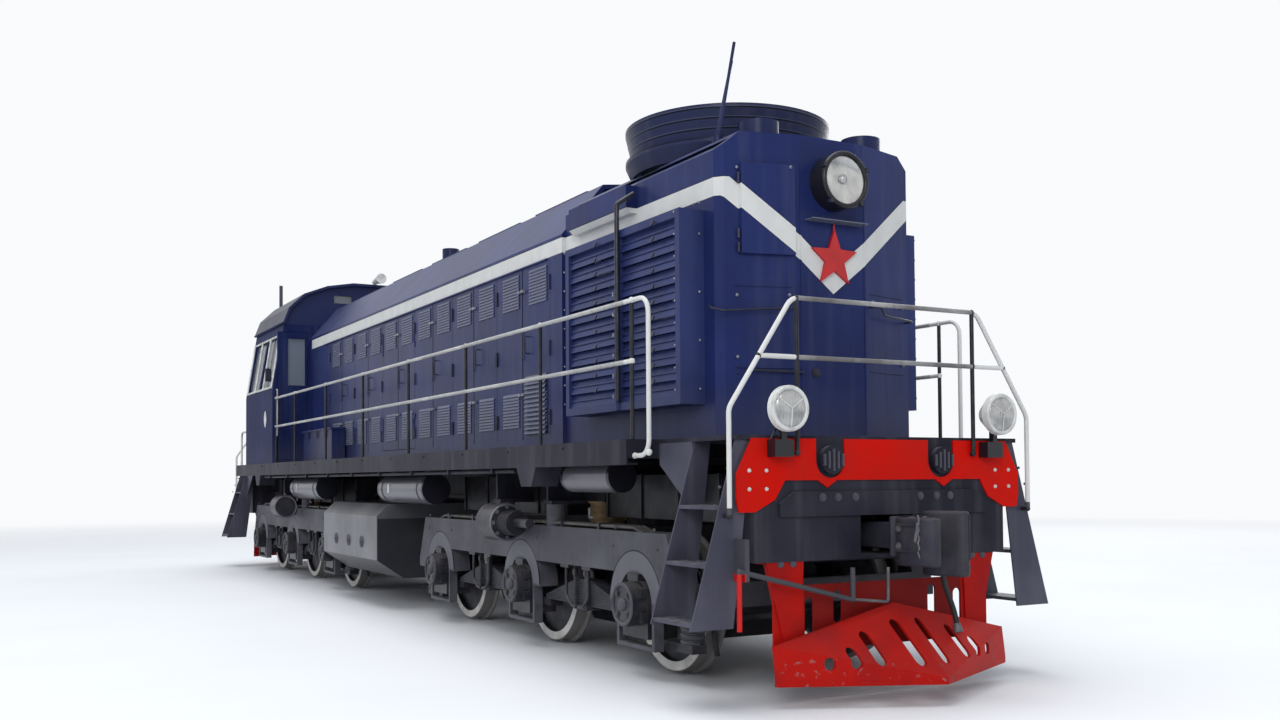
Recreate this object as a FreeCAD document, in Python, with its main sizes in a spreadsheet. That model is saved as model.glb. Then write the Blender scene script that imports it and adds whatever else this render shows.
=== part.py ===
"""Six-axle diesel shunting locomotive, hood type with one cab near the rear.

Frame: +X forward (radiator end), +Y to the locomotive's left, +Z up, in millimetres.
The origin is midway between the bogies, on the centreline, at the height of the
wheel flanges' lowest point.  Heights in the table are measured from the top of the
rail, which is one flange depth above the origin.
"""
import FreeCAD, Part
import math
import os
import Sketcher
from FreeCAD import Placement, Rotation, Vector

doc = FreeCAD.newDocument("diesel_locomotive")
sheet = doc.addObject("Spreadsheet::Sheet", "Sizes")

# ---------------------------------------------------------------- driving dimensions
# alias, value (mm, degrees or a count), what it is
SIZES = (
    ("gap_running", 0.3, "radial clearance in a bearing or pin"),
    ("gap_seat", 0.3, "gap between faces that slide on each other"),
    # wheelsets
    ("tread_radius", 525, "wheel radius at the running tread"),
    ("flange_depth", 28, "flange below the tread"),
    ("flange_width", 32, "flange along the axle"),
    ("back_half", 720, "centreline to the back of a wheel"),
    ("rim_width", 140, "tyre width"),
    ("rim_depth", 75, "tread to the inside of the rim"),
    ("web_thickness", 36, "wheel web"),
    ("hub_radius", 150, "wheel hub"),
    ("hub_overhang", 30, "hub beyond the rim, each face"),
    ("axle_radius", 98, "axle between the wheels"),
    ("journal_radius", 80, "axle journal in its box"),
    ("journal_half", 1120, "centreline to the axle's end"),
    ("axle_pitch", 2100, "between axles of one bogie"),
    ("bogie_half", 4300, "middle of the locomotive to a bogie's pivot"),
    ("end_overhang", 3575, "bogie's pivot to the outer face of an end beam"),
    # axle boxes and springs
    ("box_inner", 925, "centreline to an axle box's inner face"),
    ("box_outer", 1180, "centreline to an axle box's outer face"),
    ("box_half", 190, "half length of an axle box"),
    ("box_foot", 250, "axle down to an axle box's foot"),
    ("cover_radius", 165, "round cover of an axle box"),
    ("cover_length", 105, "round cover, outwards"),
    ("wing_length", 220, "spring seat beyond an axle box"),
    ("wing_thickness", 60, "spring seat plate"),
    ("wing_drop", 110, "axle down to a spring seat's top"),
    ("leaf_inner", 960, "centreline to a leaf spring's inner side"),
    ("leaf_width", 120, "leaf spring width"),
    ("leaf_height", 215, "leaf spring at its buckle"),
    ("leaf_tip", 40, "leaf spring at its tips"),
    ("leaf_overlap", 90, "leaf spring over its seat"),
    ("hanger_rod", 34, "round bar of a spring hanger"),
    ("hanger_half", 120, "half length of a spring hanger"),
    ("coil_radius", 85, "end coil spring"),
    ("coil_clearance", 7, "end coil's middle beyond the wheel's flange"),
    ("coil_height", 250, "end coil spring"),
    ("bracket_depth", 90, "frame bracket over an end coil spring"),
    # bogie frames
    ("beam_inner", 1000, "centreline to a side beam's inner face"),
    ("beam_outer", 1180, "centreline to a side beam's outer face"),
    ("beam_top", 1060, "side beam's top"),
    ("beam_bottom", 750, "side beam's underside"),
    ("beam_end", 2560, "bogie pivot to a side beam's end"),
    ("horn_radius", 395, "horn arch outside"),
    ("horn_wall", 145, "horn arch, radially"),
    ("horn_leg", 36, "horn leg along the beam"),
    ("horn_foot", 300, "axle down to a horn leg's foot"),
    ("tie_thickness", 30, "tie bar under an axle box"),
    ("transom_near", 900, "bogie pivot to a transom's near face"),
    ("transom_far", 1200, "bogie pivot to a transom's far face"),
    ("transom_bottom", 780, "transom's underside"),
    ("headstock_width", 60, "bogie end beam, front to back"),
    ("headstock_height", 180, "bogie end beam"),
    ("pivot_beam_half", 300, "pivot beam half width"),
    ("pivot_beam_bottom", 985, "pivot beam's underside"),
    ("pivot_beam_top", 1130, "pivot beam's top"),
    ("pivot_radius", 150, "pivot pin"),
    ("bearer_radius", 88, "side bearer"),
    ("bearer_offset", 560, "pivot to a side bearer along the beam"),
    ("bearer_top", 1245, "side bearer's top"),
    # traction motors and brakes
    ("motor_half", 520, "half length of a traction motor along the axle"),
    ("motor_bottom", 190, "motor's underside"),
    ("motor_top", 880, "motor's top"),
    ("motor_corner", 150, "motor's bevelled corners"),
    ("bearing_wall", 45, "suspension bearing around the axle"),
    ("shoe_gap", 12, "brake shoe off the tread"),
    ("shoe_thickness", 60, "brake shoe"),
    ("shoe_half_height", 170, "half height of a brake shoe"),
    ("brake_hanger", 50, "brake hanger bar"),
    ("brake_drum_radius", 165, "brake cylinder"),
    ("brake_drum_length", 330, "brake cylinder"),
    ("brake_drum_y", 1345, "centreline to a brake cylinder's axis"),
    ("brake_drum_z", 1080, "brake cylinder's axis"),
    ("brake_drum_x", 70, "pivot to a brake cylinder's far end"),
    ("brake_boot_radius", 105, "brake cylinder's boot"),
    ("brake_boot_length", 220, "brake cylinder's boot"),
    ("brake_rod_length", 270, "brake rod beyond the boot"),
    ("brake_rod_radius", 40, "brake rod"),
    # underframe
    ("deck_half", 1520, "deck half width"),
    ("deck_end_half", 1250, "deck half width at the ends, between the steps"),
    ("notch_inset", 975, "end beam's face to the step recess"),
    ("deck_height", 1736, "deck's top"),
    ("deck_plate", 30, "deck plate"),
    ("sill_height", 180, "side sill"),
    ("sill_web", 14, "side sill's web"),
    ("sill_flange", 90, "side sill's flanges"),
    ("spine_y", 520, "centreline to a main beam's middle"),
    ("spine_bottom", 1256, "main beams' underside"),
    ("spine_flange", 170, "main beam's flanges"),
    ("spine_web", 20, "main beam's web"),
    ("spine_flange_thickness", 30, "main beam's flanges"),
    ("spine_inset", 315, "end beam's face to the main beams' ends"),
    ("cross_thickness", 24, "cross members"),
    ("cross_lift", 45, "sill's underside to a cross member's"),
    ("bolster_half", 900, "bolster half length along the locomotive"),
    ("bolster_thickness", 30, "bolster plates"),
    ("pivot_length", 330, "pivot pin below the main beams"),
    ("end_beam_depth", 300, "end beam, front to back"),
    ("end_beam_half", 1110, "end beam half width"),
    ("end_beam_bottom", 905, "end beam's underside"),
    ("pocket_floor", 30, "plates round the coupler's pin"),
    ("pin_web_offset", 160, "coupler's pin to the web behind it"),
    ("pin_web", 20, "web behind the coupler's pin"),
    ("pocket_half", 230, "coupler pocket half width"),
    ("pocket_bottom", 930, "coupler pocket's floor"),
    ("pocket_top", 1230, "coupler pocket's top"),
    # end plates, ploughs and steps
    ("end_plate", 14, "red end plate"),
    ("end_plate_half", 1255, "end plate half width at its widest"),
    ("end_plate_top_half", 1130, "end plate half width at its top"),
    ("end_plate_drop", 20, "end plate's top below the deck"),
    ("plate_shoulder", 1480, "end plate's widest part, upper end"),
    ("plate_hip", 1330, "end plate's widest part, lower end"),
    ("end_plate_bottom", 1235, "end plate's side lobes"),
    ("plate_corner", 20, "end plate's lower corners"),
    ("lobe_width", 160, "flat foot of a side lobe"),
    ("lobe_rise", 80, "side lobe's sloping inner edge"),
    ("lobe_step", 80, "from a lobe's inner edge to the level middle"),
    ("dip_y", 520, "centreline to the dips in the end plate's lower edge"),
    ("dip_half", 80, "half width of a dip"),
    ("dip_depth", 50, "depth of a dip"),
    ("end_plate_middle", 1440, "end plate's underside in the middle"),
    ("lobe_inner", 950, "centreline to a side lobe's inner edge"),
    ("port_y", 494, "centreline to a round port in the end plate"),
    ("port_radius", 120, "round port in the end plate"),
    ("port_height", 1575, "round port's axis"),
    ("boss_radius", 96, "boss behind a port"),
    ("boss_out", 28, "boss beyond the end plate"),
    ("shield_half", 918, "dark shield plate half width"),
    ("shield_bevel", 120, "dark shield plate's corners, across"),
    ("shield_side", 1290, "dark shield plate's shoulders"),
    ("shield_bottom", 1200, "dark shield plate's underside"),
    ("shield_top", 1366, "dark shield plate's top"),
    ("shield_plate", 22, "dark shield plate"),
    ("plough_reach", 480, "plough's nose beyond its corners"),
    ("plough_stand", 85, "plough's corners beyond the end plate"),
    ("plough_lean", 30, "plough board's corners lean back"),
    ("plough_half", 1010, "plough half width"),
    ("plough_bottom", 115, "plough's lower edge"),
    ("plough_lip", 45, "plough's upright lower lip"),
    ("plough_corner_top", 370, "plough board's top at its corners"),
    ("plough_apex", 600, "plough board's top on the centreline"),
    ("plough_plate", 14, "plough plates"),
    ("plough_back_top", 745, "plough's back plate, top"),
    ("plough_back_low", 310, "plough's back plate, underside"),
    ("plough_back_half", 950, "plough's back plate half width"),
    ("arm_outer", 1010, "plough arm's outer edge at its top"),
    ("arm_inner", 710, "plough arm's inner edge at its top"),
    ("arm_foot_outer", 860, "plough arm's outer edge at its foot"),
    ("arm_foot_inner", 740, "plough arm's inner edge at its foot"),
    ("arm_flange", 90, "plough arm's top flange, front to back"),
    ("slot_half", 36, "half width of a slot in the plough board"),
    ("plough_back_inset", 35, "end plate to the plough's back plate"),
    ("cheek", 12, "step cheek plates"),
    ("cheek_front_inset", 33, "end plate to the outer cheek plate"),
    ("cheek_rear_inset", 525, "end plate to the inner cheek plate"),
    ("cheek_top_half", 1235, "cheek's outer edge at the deck"),
    ("cheek_foot_half", 1590, "cheek's outer edge at its foot"),
    ("cheek_foot", 495, "cheek's foot"),
    ("cheek_foot_width", 325, "cheek's foot, across"),
    ("tread_count", 3, "treads of a corner step"),
    ("tread_rise", 20, "lowest tread above the cheek's foot"),
    ("tread_pitch", 370, "between treads"),
    ("tread_thickness", 25, "tread"),
    ("tread_depth", 210, "tread, across"),
    # couplers
    ("coupler_height", 1060, "coupler's axis"),
    ("coupling_out", 610, "end plate to the coupling line"),
    ("coupler_pin_inset", 535, "end plate to the coupler's pin"),
    ("coupler_eye", 90, "coupler's eye round its pin"),
    ("coupler_pin_radius", 45, "coupler's pin"),
    ("shank_half", 70, "coupler shank half width"),
    ("shank_half_height", 90, "coupler shank half height"),
    ("head_length", 420, "coupler head"),
    ("head_half", 200, "coupler head half width"),
    ("head_half_height", 170, "coupler head half height"),
    ("throat", 150, "coupler throat depth"),
    # handrails
    ("rail_bar", 34, "handrail bar diameter"),
    ("rail_y", 1450, "centreline to the side handrails"),
    ("rail_top_height", 2720, "side handrail, top bar"),
    ("rail_mid_height", 2290, "side handrail, lower bar"),
    ("rail_bend", 80, "side handrail's rounded corner"),
    ("rail_reach", 200, "front length of the side handrail beyond the step recess"),
    ("rail_foot", 1620, "foot of the side handrail's front length"),
    ("rear_rail_inset", 100, "rear length of the side handrail short of the step recess"),
    ("rail_post_margin", 1580, "foremost middle post behind the step recess"),
    ("rail_post_pitch", 1672, "between posts"),
    ("rail_post_count", 6, "middle posts of a side handrail"),
    ("end_rail_out", 25, "end plate to the end handrail"),
    ("end_rail_half", 1325, "end handrail half width below"),
    ("end_rail_top_half", 823, "end handrail half width above"),
    ("end_rail_foot", 1217, "end handrail's foot"),
    ("end_post_half", 785, "centreline to the end handrail's inner posts"),
    ("end_post_drop", 116, "end handrail's inner posts' foot below the deck"),
    ("end_rail_knee", 1903, "end handrail's lower bend"),
    ("end_rail_top", 2642, "end handrail's top bar"),
    ("end_rail_mid", 2250, "end handrail's lower bar"),
    # radiator compartment and hoods
    ("hood_half", 940, "engine hood half width"),
    ("hood_side_top", 3640, "engine hood's side wall top"),
    ("hood_roof", 3943, "radiator hood's flat roof"),
    ("hood_peak", 4190, "engine hood's roof on the centreline"),
    ("hood_shoulder", 520, "centreline to the hood roof's shoulders"),
    ("hood_crown", 60, "hood roof's rise from the shoulders to the peak"),
    ("hood_wall", 40, "hood wall"),
    ("face_inset", 565, "end plate to the flat front panel"),
    ("face_half", 294, "flat front panel half width"),
    ("facet_back", 155, "front facet's outer edge behind the front panel"),
    ("corner_width", 50, "radiator hood's bevelled front corner, across"),
    ("corner_length", 60, "radiator hood's bevelled front corner, along"),
    ("radiator_half", 901, "radiator hood half width"),
    ("radiator_side_top", 3806, "radiator hood's side wall top"),
    ("radiator_length", 2630, "radiator hood"),
    ("shutter_inset", 195, "facet's outer edge to the shutter box"),
    ("shutter_length", 1860, "shutter box"),
    ("shutter_frame", 60, "shutter box's frame"),
    ("shutter_bar", 24, "upright bar between the shutter fields, radius"),
    ("shutter_bottom", 1990, "shutter box underside"),
    ("shutter_top", 3400, "shutter box top"),
    ("shutter_out", 1110, "centreline to a shutter box's outer face"),
    ("slat_count", 11, "shutter slats"),
    ("slat_lean", 34, "shutter slat's lean"),
    ("slat_inset", 12, "shutter slats inside the box's outer face"),
    ("slat_thickness", 8, "shutter slat"),
    ("fan_inset", 1387, "front panel to the fan's axis"),
    ("ring_waist", 800, "fan ring between its two tiers"),
    ("ring_step", 4083, "fan ring's lower tier, top"),
    ("ring_rim", 30, "fan ring's rims"),
    ("ring_groove", 8, "fan ring's grooves"),
    ("ring_radius", 851, "fan ring outside"),
    ("ring_wall", 25, "fan ring's wall at its waist"),
    ("ring_top", 4343, "fan ring's top"),
    ("fan_clearance", 30, "fan blade tips to the ring"),
    ("fan_hub_radius", 230, "fan hub"),
    ("fan_hub_height", 150, "fan hub"),
    ("fan_height", 4060, "fan's middle plane"),
    ("blade_count", 8, "fan blades"),
    ("blade_thickness", 12, "fan blade"),
    ("blade_chord", 220, "fan blade's width"),
    ("blade_pitch_angle", 28, "fan blade's twist from flat, degrees"),
    ("shaft_radius", 60, "fan shaft"),
    ("gearbox_half", 260, "fan gearbox half length"),
    ("gearbox_top", 2750, "fan gearbox's top"),
    ("guard_count", 9, "fan guard bars"),
    ("guard_pitch", 170, "between fan guard bars"),
    ("guard_bar", 14, "fan guard bar"),
    # engine hood doors
    ("cabinet_length", 850, "plain hood ahead of the cab"),
    ("margin_front", 240, "radiator hood to the foremost hood door"),
    ("margin_rear", 340, "hindmost hood door to the plain hood"),
    ("leaf_rise", 94, "deck to a hood door's lower edge"),
    ("leaf_top", 3450, "hood door's upper edge"),
    ("leaf_thickness", 40, "hood door"),
    ("leaf_gap", 6, "gap round a hood door"),
    ("leaf_pairs", 6, "double doors a side"),
    ("open_pair", 3, "latched double doors ahead of the hinged one"),
    ("louvre_width", 390, "louvre field, along"),
    ("louvre_shift", 45, "louvre field ahead of its leaf's middle"),
    ("louvre_out", 12, "louvre blade beyond its door"),
    ("louvre_pitch", 30, "between louvre blades"),
    ("louvre_count", 11, "blades of a louvre field"),
    ("louvre_high", 3090, "upper louvre field's lower edge"),
    ("louvre_low", 1950, "lower louvre field's lower edge"),
    ("hinge_radius", 9, "door hinge"),
    ("hinge_inset", 200, "door's edge to its hinges, above and below"),
    ("hinge_length", 150, "door hinge's moving knuckle"),
    ("hinge_fixed", 60, "door hinge's fixed knuckles"),
    ("hinge_strap", 34, "fixed knuckle's strap beyond the hinge's axis"),
    # cab
    ("cab_length", 1940, "cab"),
    ("cab_half", 1500, "cab half width"),
    ("cab_waist", 2830, "cab's windowsill"),
    ("cab_eave_half", 1330, "cab half width at the eaves"),
    ("cab_eave", 3860, "cab's eaves"),
    ("cab_peak", 4560, "cab roof on the centreline"),
    ("cab_wall", 60, "cab walls"),
    ("cab_roof_plate", 40, "cab roof"),
    ("cab_overhang", 60, "cab roof beyond the walls"),
    ("glass", 8, "window glass"),
    ("window_rim", 70, "side window to the cab's corners"),
    ("side_window_bottom", 2900, "side window's sill"),
    ("side_window_top", 3680, "side window's head"),
    ("end_window_bottom", 2920, "end window's sill"),
    ("end_window_top", 3680, "end window's head"),
    ("door_rise", 54, "deck to a cab door's lower edge"),
    ("door_top", 3740, "cab door's upper edge"),
    ("door_inner", 975, "centreline to the cab front door's hinge edge"),
    ("door_outer", 1420, "centreline to the cab front door's free edge"),
    ("door_gap", 6, "gap round a cab door"),
    ("door_rim_inner", 35, "cab door's window to its hinge edge"),
    ("door_rim_outer", 150, "cab door's window to its free edge"),
    ("gable_inner", 280, "centreline to the small window over the hood"),
    ("gable_outer", 563, "centreline to the far edge of the small window"),
    ("gable_low", 4225, "small window's sill"),
    ("gable_high", 4350, "small window's head"),
    ("vent_pipe_y", 1000, "centreline to the cab roof's vent pipe"),
    ("vent_pipe_inset", 290, "cab's rear wall to the vent pipe"),
    ("vent_pipe_radius", 28, "vent pipe"),
    ("vent_pipe_top", 4700, "vent pipe's top"),
    ("vent_pipe_root", 384, "cab's eaves to the vent pipe's foot inside the roof"),
    ("desk_depth", 520, "control desk, front to back"),
    ("desk_height", 850, "control desk above the deck"),
    ("seat_height", 480, "seat above the deck"),
    ("seat_width", 460, "seat"),
    ("seat_inset", 500, "cab's rear wall to a seat"),
    ("seat_y", 620, "centreline to a seat"),
    ("seat_cushion", 80, "seat's cushion and back"),
    ("seat_back", 450, "seat's back above its cushion"),
    ("seat_foot_inset", 150, "seat's edge to its foot"),
    ("desk_inner", 200, "centreline to the control desk"),
    ("desk_gap", 20, "control desk to the cab's front wall"),
    ("desk_margin", 100, "control desk to the cab's side"),
    ("rear_window_inner", 120, "centreline to a rear window"),
    ("rear_window_outer", 640, "centreline to a rear window's far edge"),
    # rear hood
    ("rear_hood_inset", 635, "end plate to the rear hood's rear end"),
    ("rear_hood_length", 1050, "rear hood"),
    ("rear_hood_half", 940, "rear hood half width"),
    ("rear_hood_top", 2880, "rear hood's top"),
    ("rear_hood_bevel", 180, "rear hood's bevelled roof edges"),
    # tanks and boxes
    ("tank_gap_front", 890, "fuel tank to the front bogie's frame"),
    ("tank_gap_rear", 290, "fuel tank to the rear bogie's frame"),
    ("tank_half", 1450, "fuel tank half width"),
    ("tank_bottom_half", 1130, "fuel tank's flat bottom half width"),
    ("tank_top", 1190, "fuel tank's top"),
    ("tank_shoulder", 1050, "fuel tank's side, upper edge"),
    ("tank_hip", 550, "fuel tank's side, lower edge"),
    ("tank_bottom", 330, "fuel tank's underside"),
    ("tank_strap", 60, "fuel tank's hanger"),
    ("tank_strap_inset", 300, "fuel tank's end to its hanger"),
    ("air_y", 1240, "centreline to an air reservoir's axis"),
    ("air_strap_inset", 150, "air reservoir's end to its band"),
    ("air_strap", 50, "air reservoir's band"),
    # engine
    ("engine_front", 3700, "middle to the engine's front end"),
    ("engine_rear", -900, "middle to the engine's rear end"),
    ("engine_half", 560, "engine half width"),
    ("engine_top", 3350, "engine's top"),
    ("generator_rear", -2700, "middle to the generator's rear end"),
    ("generator_radius", 600, "generator"),
    ("generator_lift", 60, "generator above the deck"),
    # lamps and roof fittings
    ("head_lamp_radius", 205, "headlight"),
    ("head_lamp_rim", 18, "headlight's rim"),
    ("head_lamp_recess", 35, "headlight's glass behind its rim"),
    ("head_lamp_length", 150, "headlight"),
    ("rear_lamp_radius", 120, "rear headlight"),
    ("rear_lamp_length", 90, "rear headlight"),
    ("rear_lamp_height", 4110, "rear headlight's axis"),
    ("head_lamp_height", 3614, "headlight's axis"),
    ("buffer_lamp_y", 937, "centreline to a buffer lamp"),
    ("buffer_lamp_rise", 167, "deck to a buffer lamp's axis"),
    ("buffer_lamp_radius", 150, "buffer lamp's rim"),
    ("buffer_lamp_rim", 40, "buffer lamp's rim, front to back"),
    ("buffer_lamp_back", 70, "back of a buffer lamp's bowl"),
    ("buffer_lamp_length", 150, "buffer lamp"),
    ("lamp_bracket_half", 75, "buffer lamp's bracket half width"),
    ("lamp_bracket_low", 143, "deck down to the underside of a lamp bracket"),
    ("lamp_bracket_high", 31, "deck down to the top of a lamp bracket"),
    ("lamp_bracket_out", 90, "lamp bracket beyond the end plate"),
    ("lamp_stem", 40, "buffer lamp's stem"),
    ("buffer_lamp_out", 151, "end plate to a buffer lamp's glass"),
    ("star_radius", 215, "front star"),
    ("star_height", 3060, "front star's middle"),
    ("shelf_half", 255, "shelf over the star, half width"),
    ("shelf_depth", 100, "shelf over the star"),
    ("shelf_height", 3322, "shelf over the star, underside"),
    ("shelf_plate", 8, "shelf plate"),
    ("shelf_rod", 7, "rod from the shelf to the star, radius"),
    ("hatch_near", 354, "centreline to the facet hatch's near edge"),
    ("hatch_far", 745, "centreline to the facet hatch's far edge"),
    ("hatch_low", 3060, "facet hatch's lower edge"),
    ("hatch_high", 3705, "facet hatch's upper edge"),
    ("hatch_plate", 12, "facet hatch"),
    ("star_thickness", 25, "front star"),
    ("stack_radius", 110, "exhaust stack"),
    ("stack_x", 620, "middle back to the exhaust stack"),
    ("stack_top", 4490, "exhaust stack's top"),
    ("duct_front", 1180, "facet's outer edge to the side duct"),
    ("duct_length", 1030, "side duct"),
    ("duct_out", 100, "side duct beyond the radiator hood's side"),
    ("duct_low", 3570, "side duct's underside"),
    ("duct_high", 3790, "side duct's top"),
    ("duct_bevel", 45, "side duct's lower corner"),
    ("tool_box_out", 210, "tool box beyond the hood's side"),
    ("tool_box_height", 440, "tool box"),
    ("tool_box_length", 1570, "tool box"),
    ("tool_box_inset", 480, "cab's front wall to the tool box"),
    ("tool_box_lid", 24, "tool box's lid"),
    ("cap_radius", 150, "round filler cap on the radiator hood"),
    ("cap_height", 120, "round filler cap"),
    ("cap_inset", 250, "front panel to a filler cap's middle"),
    ("cap_y", 480, "centreline to a filler cap"),
    ("aerial_gap", 76, "fan ring to the aerial"),
    ("aerial_y", 700, "centreline to the aerial's foot"),
    ("aerial_lean", 155, "aerial's lean towards the centreline"),
    ("aerial_top", 4725, "aerial's top"),
    ("aerial_base", 45, "aerial's base, radius"),
    ("aerial_spacing", 36, "between the aerial's two rods"),
    ("aerial_short", 130, "shorter rod below the aerial's top"),
    ("aerial_radius", 12, "aerial"),
    ("horn_length", 420, "horn"),
    ("horn_y", 110, "centreline to the horn"),
    ("horn_back", 150, "horn's rear end behind the cab's front wall"),
    ("horn_rise", 60, "horn's axis over the cab roof"),
    ("horn_bell", 80, "horn's bell"),
    # brake hoses
    ("lever_out", 75, "end plate to the uncoupling rod"),
    ("lever_far", 1290, "centreline to the uncoupling handle"),
    ("lever_near", 378, "centreline to the uncoupling crank"),
    ("lever_high", 867, "uncoupling rod at its handle"),
    ("lever_low", 640, "uncoupling rod at its crank"),
    ("crank_length", 215, "uncoupling crank above the rod"),
    ("handle_foot", 488, "uncoupling handle's lower end"),
    ("hold_height", 200, "uncoupling rod's bracket above the rod"),
    ("pad_offset", 880, "bogie's pivot to a jacking pad's middle"),
    ("pad_half", 200, "half length of a jacking pad at the sill"),
    ("pad_foot", 100, "half length of a jacking pad's foot"),
    ("pad_width", 240, "jacking pad"),
    ("pad_drop", 156, "sill's underside to a jacking pad's foot"),
    ("cock_out", 110, "end plate to a brake cock"),
    ("cock_y", 388, "centreline to a brake cock"),
    ("cock_height", 960, "brake cock's axis"),
    ("cock_drop", 90, "brake cock's outlet below its axis"),
    ("cock_radius", 30, "brake cock's pipe"),
    ("hose_radius", 19, "brake hose"),
    ("hose_head", 60, "brake hose's coupling head"),
)
for row, (alias, value, note) in enumerate(SIZES, start=1):
    sheet.set(f"A{row}", alias)
    sheet.set(f"B{row}", str(value))
    sheet.set(f"C{row}", note)
    sheet.setAlias(f"B{row}", alias)
doc.recompute()


# ---------------------------------------------------------------- sizes with formulas
class Size:
    """A number together with the sheet formula that gives it."""

    def __init__(self, value, formula):
        self.value = float(value)
        self.formula = formula

    def __add__(self, other):
        other = as_size(other)
        return Size(self.value + other.value, f"({self.formula} + {other.formula})")

    def __sub__(self, other):
        other = as_size(other)
        return Size(self.value - other.value, f"({self.formula} - {other.formula})")

    def __mul__(self, other):
        other = as_size(other)
        return Size(self.value * other.value, f"({self.formula} * {other.formula})")

    def __truediv__(self, other):
        other = as_size(other)
        return Size(self.value / other.value, f"({self.formula} / {other.formula})")

    def __neg__(self):
        return Size(-self.value, f"(-1 * {self.formula})")

    def __radd__(self, other):
        return as_size(other) + self

    def __rsub__(self, other):
        return as_size(other) - self

    def __rmul__(self, other):
        return as_size(other) * self


def as_size(number):
    return number if isinstance(number, Size) else Size(number, f"({number})")


class Sheet:
    """Attribute access to the sheet's cells."""


S = Sheet()
for alias, value, note in SIZES:
    setattr(S, alias, Size(value, f"Sizes.{alias}"))


def up(height):
    """Height above the rail, as a coordinate of the model."""
    return S.flange_depth + height


def turned(side, low, high):
    """The span low..high, mirrored to the other side where side is -1."""
    return (low, high) if side > 0 else (-high, -low)


# ---------------------------------------------------------------- places that follow
END_X = S.bogie_half + S.end_overhang
NOTCH_X = END_X - S.notch_inset
DECK_TOP = up(S.deck_height)
UNDER_DECK = DECK_TOP - S.deck_plate
PIN_X = END_X - S.coupler_pin_inset
COUPLING_X = END_X + S.coupling_out
FACE_X = END_X - S.face_inset
FACET_X = FACE_X - S.facet_back
RADIATOR_REAR = FACE_X - S.radiator_length
SHUTTER_FRONT = FACET_X - S.shutter_inset
SHUTTER_REAR = SHUTTER_FRONT - S.shutter_length
FAN_X = FACE_X - S.fan_inset
REAR_HOOD_REAR = S.rear_hood_inset - END_X
CAB_REAR = REAR_HOOD_REAR + S.rear_hood_length
CAB_FRONT = CAB_REAR + S.cab_length
HOOD_REAR = CAB_FRONT + S.cabinet_length
LEAF_FIRST = RADIATOR_REAR - S.margin_front
LEAF_PITCH = (LEAF_FIRST - HOOD_REAR - S.margin_rear) / (S.leaf_pairs * 2)
LEAF_LOW, LEAF_HIGH = DECK_TOP + S.leaf_rise, up(S.leaf_top)
DOOR_LOW, DOOR_HIGH = DECK_TOP + S.door_rise, up(S.door_top)


# ---------------------------------------------------------------- building blocks
def bind(target, **formulas):
    for name, size in formulas.items():
        target.setExpression(name.replace("_", "."), as_size(size).formula)


def place(target, x, y, z):
    target.setExpression("Placement.Base.x", as_size(x).formula)
    target.setExpression("Placement.Base.y", as_size(y).formula)
    target.setExpression("Placement.Base.z", as_size(z).formula)


def box(x, y, z):
    """Block between the low and high coordinates of each axis."""
    block = doc.addObject("Part::Box", "Block")
    bind(block, Length=x[1] - x[0], Width=y[1] - y[0], Height=z[1] - z[0])
    place(block, x[0], y[0], z[0])
    return block


TURNS = {
    "X": Rotation(Vector(0, 1, 0), 90),
    "Y": Rotation(Vector(1, 0, 0), -90),
    "Z": Rotation(),
}


def along(axis, span, cross):
    """Start point of a round piece along an axis, the cross axes in their order."""
    if axis == "X":
        return span[0], cross[0], cross[1]
    if axis == "Y":
        return cross[0], span[0], cross[1]
    return cross[0], cross[1], span[0]


def drum(axis, radius, span, cross):
    """Cylinder along an axis between the two coordinates of span."""
    piece = doc.addObject("Part::Cylinder", "Drum")
    piece.Placement = Placement(Vector(), TURNS[axis])
    bind(piece, Radius=radius, Height=span[1] - span[0])
    place(piece, *along(axis, span, cross))
    return piece


def cone(axis, radii, span, cross):
    """Cone along an axis, radii at the span's two ends."""
    piece = doc.addObject("Part::Cone", "Cone")
    piece.Placement = Placement(Vector(), TURNS[axis])
    bind(piece, Radius1=radii[0], Radius2=radii[1], Height=span[1] - span[0])
    place(piece, *along(axis, span, cross))
    return piece


def fuse(*pieces):
    joined = doc.addObject("Part::MultiFuse", "Joined")
    joined.Shapes = list(pieces)
    joined.Refine = True
    return joined


def group(*pieces):
    """Several solids of one node that do not touch."""
    together = doc.addObject("Part::Compound", "Together")
    together.Links = list(pieces)
    return together


def cut(base, *tools):
    result = doc.addObject("Part::Cut", "Opened")
    result.Base = base
    result.Tool = tools[0] if len(tools) == 1 else group(*tools)
    return result


def shared(base, tool):
    """What both pieces fill."""
    result = doc.addObject("Part::MultiCommon", "Shared")
    result.Shapes = [base, tool]
    return result


def tube(axis, radius, wall, span, cross):
    return cut(drum(axis, radius, span, cross),
               drum(axis, radius - wall, (span[0] - 1, span[1] + 1), cross))


def mirrored(piece, normal):
    """The piece's mirror image in the plane through the origin with this normal."""
    image = doc.addObject("Part::Mirroring", "Mirrored")
    image.Source = piece
    image.Normal = normal
    return image


def both_sides(piece):
    return group(piece, mirrored(piece, Vector(0, 1, 0)))


def both_ends(piece):
    return group(piece, mirrored(piece, Vector(1, 0, 0)))


PLANES = {"X": "YZ_Plane", "Y": "XZ_Plane", "Z": "XY_Plane"}


def origin_plane(body, role):
    return next(part for part in body.Origin.OriginFeatures if part.Role == role)


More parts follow.
